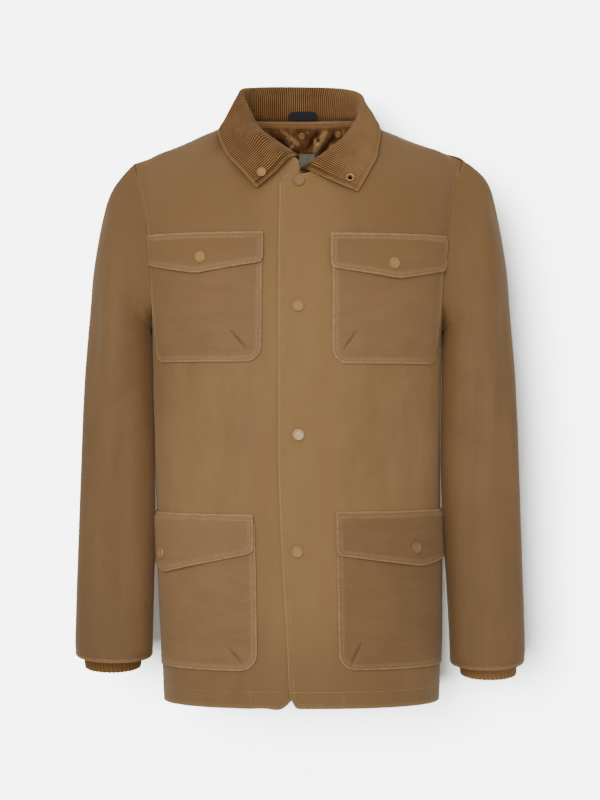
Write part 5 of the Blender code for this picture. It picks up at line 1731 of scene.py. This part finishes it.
def tuck_under(panel):
    """Adds a narrow margin past a panel's edge, turned in a little."""
    cloth = bmesh.new()
    cloth.from_mesh(panel.data)
    cloth.normal_update()
    rim = [edge for edge in cloth.edges if edge.is_boundary]
    moves = KDTree(sum(vertex.is_boundary for vertex in cloth.verts))
    steps = []
    for vertex in cloth.verts:
        if vertex.is_boundary:
            middles = [face.calc_center_median() for face in vertex.link_faces]
            away = vertex.co - sum(middles, Vector()) / len(middles)
            away = (away - away.dot(vertex.normal) * vertex.normal).normalized()
            moves.insert(vertex.co, len(steps))
            steps.append(away * MARGIN[0] * MM - vertex.normal * MARGIN[1] * MM)
    moves.balance()
    for item in bmesh.ops.extrude_edge_only(cloth, edges=rim)["geom"]:
        if isinstance(item, bmesh.types.BMVert):
            item.co += steps[moves.find(item.co)[1]]
    cloth.to_mesh(panel.data)
    cloth.free()


for name, panel in panels.items():
    tuck_under(panel)
    points = coordinates(panel.data)
    edge = distances(points, rim_points(panel.data)) / MM
    x, _, z = points.T / MM
    armhole = smooth_step(np.abs(x), 150.0, 165.0) * smooth_step(z, -340.0, -300.0)
    mark(panel.data, "worn", (0.8 - 0.6 * armhole) * bell(edge, 1.6))
    thicken(panel, SHELL_THICK, False, 0.3)
    print(name, "has", len(points), "points with its margin")

# %% [markdown]
# ## Handing each piece its place and finish
# Every new piece stands for the solid it was made from, rides on the coat's one body, and takes
# its finish. The stitches stand for no solid.

# %% Finish the pieces
DARKER_CAPS, BARE_CAP = ("snap_front_1", "snap_lower_left"), "snap_front_3"
# These two take the darker pocket cotton, as painted shade.
SHADED_CLOTHS = ("pocket_lower_left", "flap_lower_left")


def finish(piece, material, slot, *nodes):
    piece.data.materials.clear()
    piece.data.materials.append(material)
    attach(piece, "root")
    if nodes:
        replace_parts(piece, *nodes)


for name, panel in panels.items():
    finish(panel, shaded_sleeve_cotton if "sleeve" in name else body_cotton, "waxed_cloth", name)
for cloths, cotton in ((bags, pocket_cotton), (flaps, flap_cotton)):
    for name, cloth in cloths.items():
        finish(cloth, shaded_pocket_cotton if name in SHADED_CLOTHS else cotton, "waxed_cloth", name)
for name, thread in threads.items():
    finish(thread, thread_cotton.material, "waxed_cloth")
finish(collar, corduroy, "corduroy", "collar")
for side, cuff in cuffs.items():
    finish(cuff, rib, "rib_knit", "cuff_" + WORDS[side])
finish(lining, satin.material, "satin_lining", "lining")
finish(label, woven.material, "label_cloth", "label")
finish(loop, tape.material, "tape", "locker_loop")
for node, cap in snaps.items():
    metal = node == BARE_CAP
    coat = cap_darker if node in DARKER_CAPS else cap_enamel
    finish(cap, cap_metal if metal else coat, "snap_metal" if metal else "snap_enamel", node)
finish(eyelet, cap_brass, "snap_metal", "eyelet_collar")

# %% [markdown]
# ## Stating each cut
# A maker works from flat sizes. For each cloth this lists the width and length of the rectangle
# it is cut from, and the area of the cut itself, and prints that area beside the one the piece
# measures. On a tube the width goes all round. The label and the loop are cut as plain
# rectangles, so they list no area of their own.

# %% State the cuts
def area_of(piece):
    """The area of one side of a piece before it gets its thickness, in square metres."""
    return sum(polygon.area for polygon in piece.data.polygons)


# Columns: piece, width, length, area in square metres, how it is held, what carries it.
CUTS = (
    (panels["front_right"], 0.335, 0.752, 0.214, "hung", ("back",)),
    (panels["front_left"], 0.34, 0.752, 0.216, "hung", ("back",)),
    (panels["back"], 0.47, 0.765, 0.322, "hung", ("front_right", "front_left")),
    (panels["sleeve_right"], 0.41, 0.65, 0.187, "hung", ("front_right", "back")),
    (panels["sleeve_left"], 0.41, 0.66, 0.196, "hung", ("front_left", "back")),
    (bags["pocket_upper_right"], 0.1685, 0.152, 0.0254, "stretched", ("front_right",)),
    (bags["pocket_upper_left"], 0.1625, 0.1525, 0.0246, "stretched", ("front_left",)),
    (bags["pocket_lower_right"], 0.241, 0.186, 0.0446, "stretched", ("front_right",)),
    (bags["pocket_lower_left"], 0.2265, 0.186, 0.0419, "stretched", ("front_left",)),
    (flaps["flap_upper_right"], 0.1715, 0.0525, 0.0078, "hung", ("front_right",)),
    (flaps["flap_upper_left"], 0.169, 0.0575, 0.0086, "hung", ("front_left",)),
    (flaps["flap_lower_right"], 0.241, 0.0765, 0.0150, "hung", ("front_right",)),
    (flaps["flap_lower_left"], 0.228, 0.071, 0.0143, "hung", ("front_left",)),
    (collar, 0.665, 0.095, 0.053, "folded", PANELS),
    (cuffs[RIGHT], 0.235, 0.062, 0.0143, "hung", ("sleeve_right",)),
    (cuffs[LEFT], 0.235, 0.062, 0.0143, "hung", ("sleeve_left",)),
    (lining, 0.2, 0.135, 0.024, "hung", ("back",)),
    (label, 0.025, 0.032, None, "stretched", ("lining",)),
    (loop, 0.037, 0.0115, None, "stretched", ("back",)),
)
for piece, width, length, area, held, carriers in CUTS:
    thread = [threads[name] for name in threads if name in piece.get("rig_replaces", ())]
    print(piece.name, "measures", round(area_of(piece), 5), "cut", area or round(width * length, 5))

# %% [markdown]
# ## The studio
# The coat is shown in soft light from high on its right, with a broad weaker light from ahead and
# one from behind. The camera sees a far brighter room than the one that lights the coat.

# %% Light the coat
AMBIENT, BACKDROP = 0.56, 6.2  # how bright the room is for the coat, and for the camera
world = bpy.data.worlds.new("studio")
bpy.context.scene.world = world
world.use_nodes = True
background = world.node_tree.nodes["Background"]
background.inputs["Color"].default_value = (1.0, 1.0, 1.0, 1.0)
seen = world.node_tree.nodes.new("ShaderNodeLightPath").outputs["Is Camera Ray"]
strength = world.node_tree.nodes.new("ShaderNodeMapRange")
strength.inputs["To Min"].default_value = AMBIENT
strength.inputs["To Max"].default_value = BACKDROP
world.node_tree.links.new(seen, strength.inputs["Value"])
world.node_tree.links.new(strength.outputs[0], background.inputs["Strength"])


def lamp(name, place, aim, size, power):
    """A round white lamp."""
    data = bpy.data.lights.new(name, "AREA")
    data.shape, data.size, data.energy = "DISK", size, power
    light = bpy.data.objects.new(name, data)
    light.location = place
    light.rotation_euler = (Vector(aim) - Vector(place)).to_track_quat("-Z", "Y").to_euler()
    bpy.context.scene.collection.objects.link(light)


lamp("key", (-0.75, -2.6, 1.0), (0.0, 0.0, -0.42), 1.2, 23.0)
lamp("front", (-0.2, -3.0, -0.3), (0.0, 0.0, -0.4), 1.0, 15.5)
lamp("behind", (0.5, 2.9, 0.9), (0.0, 0.0, -0.35), 1.2, 27.0)
print("lamps:", [light.name for light in bpy.data.lights])

# %% [markdown]
# Close behind the coat stands a pale wall, on which the coat's soft shadow falls. Seen from behind
# or edge-on the wall is clear, so it stays out of the way of the other views.

# %% Set the wall
CARD_HALF = 5.0
WALL_AWAY, WALL_MIDDLE = 0.165, -0.35


def card(name, place, turn=0.0):
    """A large plain sheet behind or below the coat, which throws no light back onto it."""
    sheet = bmesh.new()
    bmesh.ops.create_grid(sheet, x_segments=1, y_segments=1, size=CARD_HALF)
    matrix = Matrix.Translation(place) @ Matrix.Rotation(turn, 4, "X")
    bmesh.ops.transform(sheet, matrix=matrix, verts=sheet.verts)
    mesh = bpy.data.meshes.new(name)
    sheet.to_mesh(mesh)
    sheet.free()
    made = add_piece(name, mesh)
    made.visible_shadow = made.visible_diffuse = made.visible_glossy = False
    return made


wall = card("wall", (0.0, WALL_AWAY, WALL_MIDDLE), math.pi / 2)
paper = Recipe("wall_paper")
paper.set(Base_Color=(0.8, 0.8, 0.8, 1.0), Roughness=1.0, Specular_IOR_Level=0.0)
clear = paper.node("ShaderNodeBsdfTransparent")
back = paper.node("ShaderNodeNewGeometry", output="Backfacing")
edge_on = paper.node("ShaderNodeLayerWeight", output="Facing").between(0.82, 0.93)
hidden = 1.0 - (1.0 - back) * (1.0 - edge_on)
seen_side = Value(paper, paper.shader.outputs["BSDF"])
either = paper.node("ShaderNodeMixShader", {}, [hidden, seen_side, clear])
paper.put(paper.tree.nodes["Material Output"].inputs["Surface"], either)
wall.data.materials.append(paper.material)
print("wall", WALL_AWAY, "m behind the coat's middle")

# %% [markdown]
# One more light reaches only the wall, so that it looks white without bleaching the coat. The
# floor lies well below the coat, and glows a little so that it is as pale as the wall.

# %% Light the wall and set the floor
WALL_LIGHT, SUN_WIDE = 23.0, 24.0  # a sun so many degrees wide throws a soft shadow
FLOOR_DEEP, FLOOR_GLOW = -1.7, 5.6

sun = bpy.data.objects.new("wall_light", bpy.data.lights.new("wall_light", "SUN"))
sun.data.energy, sun.data.angle = WALL_LIGHT, math.radians(SUN_WIDE)
sun.rotation_euler = Vector((0.27, 1.0, -0.1)).to_track_quat("-Z", "Y").to_euler()
bpy.context.scene.collection.objects.link(sun)
lit = bpy.data.collections.new("lit_by_wall_light")
lit.objects.link(wall)
sun.light_linking.receiver_collection = lit

floor = card("floor", (0.0, 0.0, FLOOR_DEEP))
pale = Recipe("floor_paint")
pale.set(
    Base_Color=(0.8, 0.8, 0.8, 1.0),
    Roughness=1.0,
    Emission_Color=(1.0, 1.0, 1.0, 1.0),
    Emission_Strength=FLOOR_GLOW,
)
floor.data.materials.append(pale.material)
print("stage set")
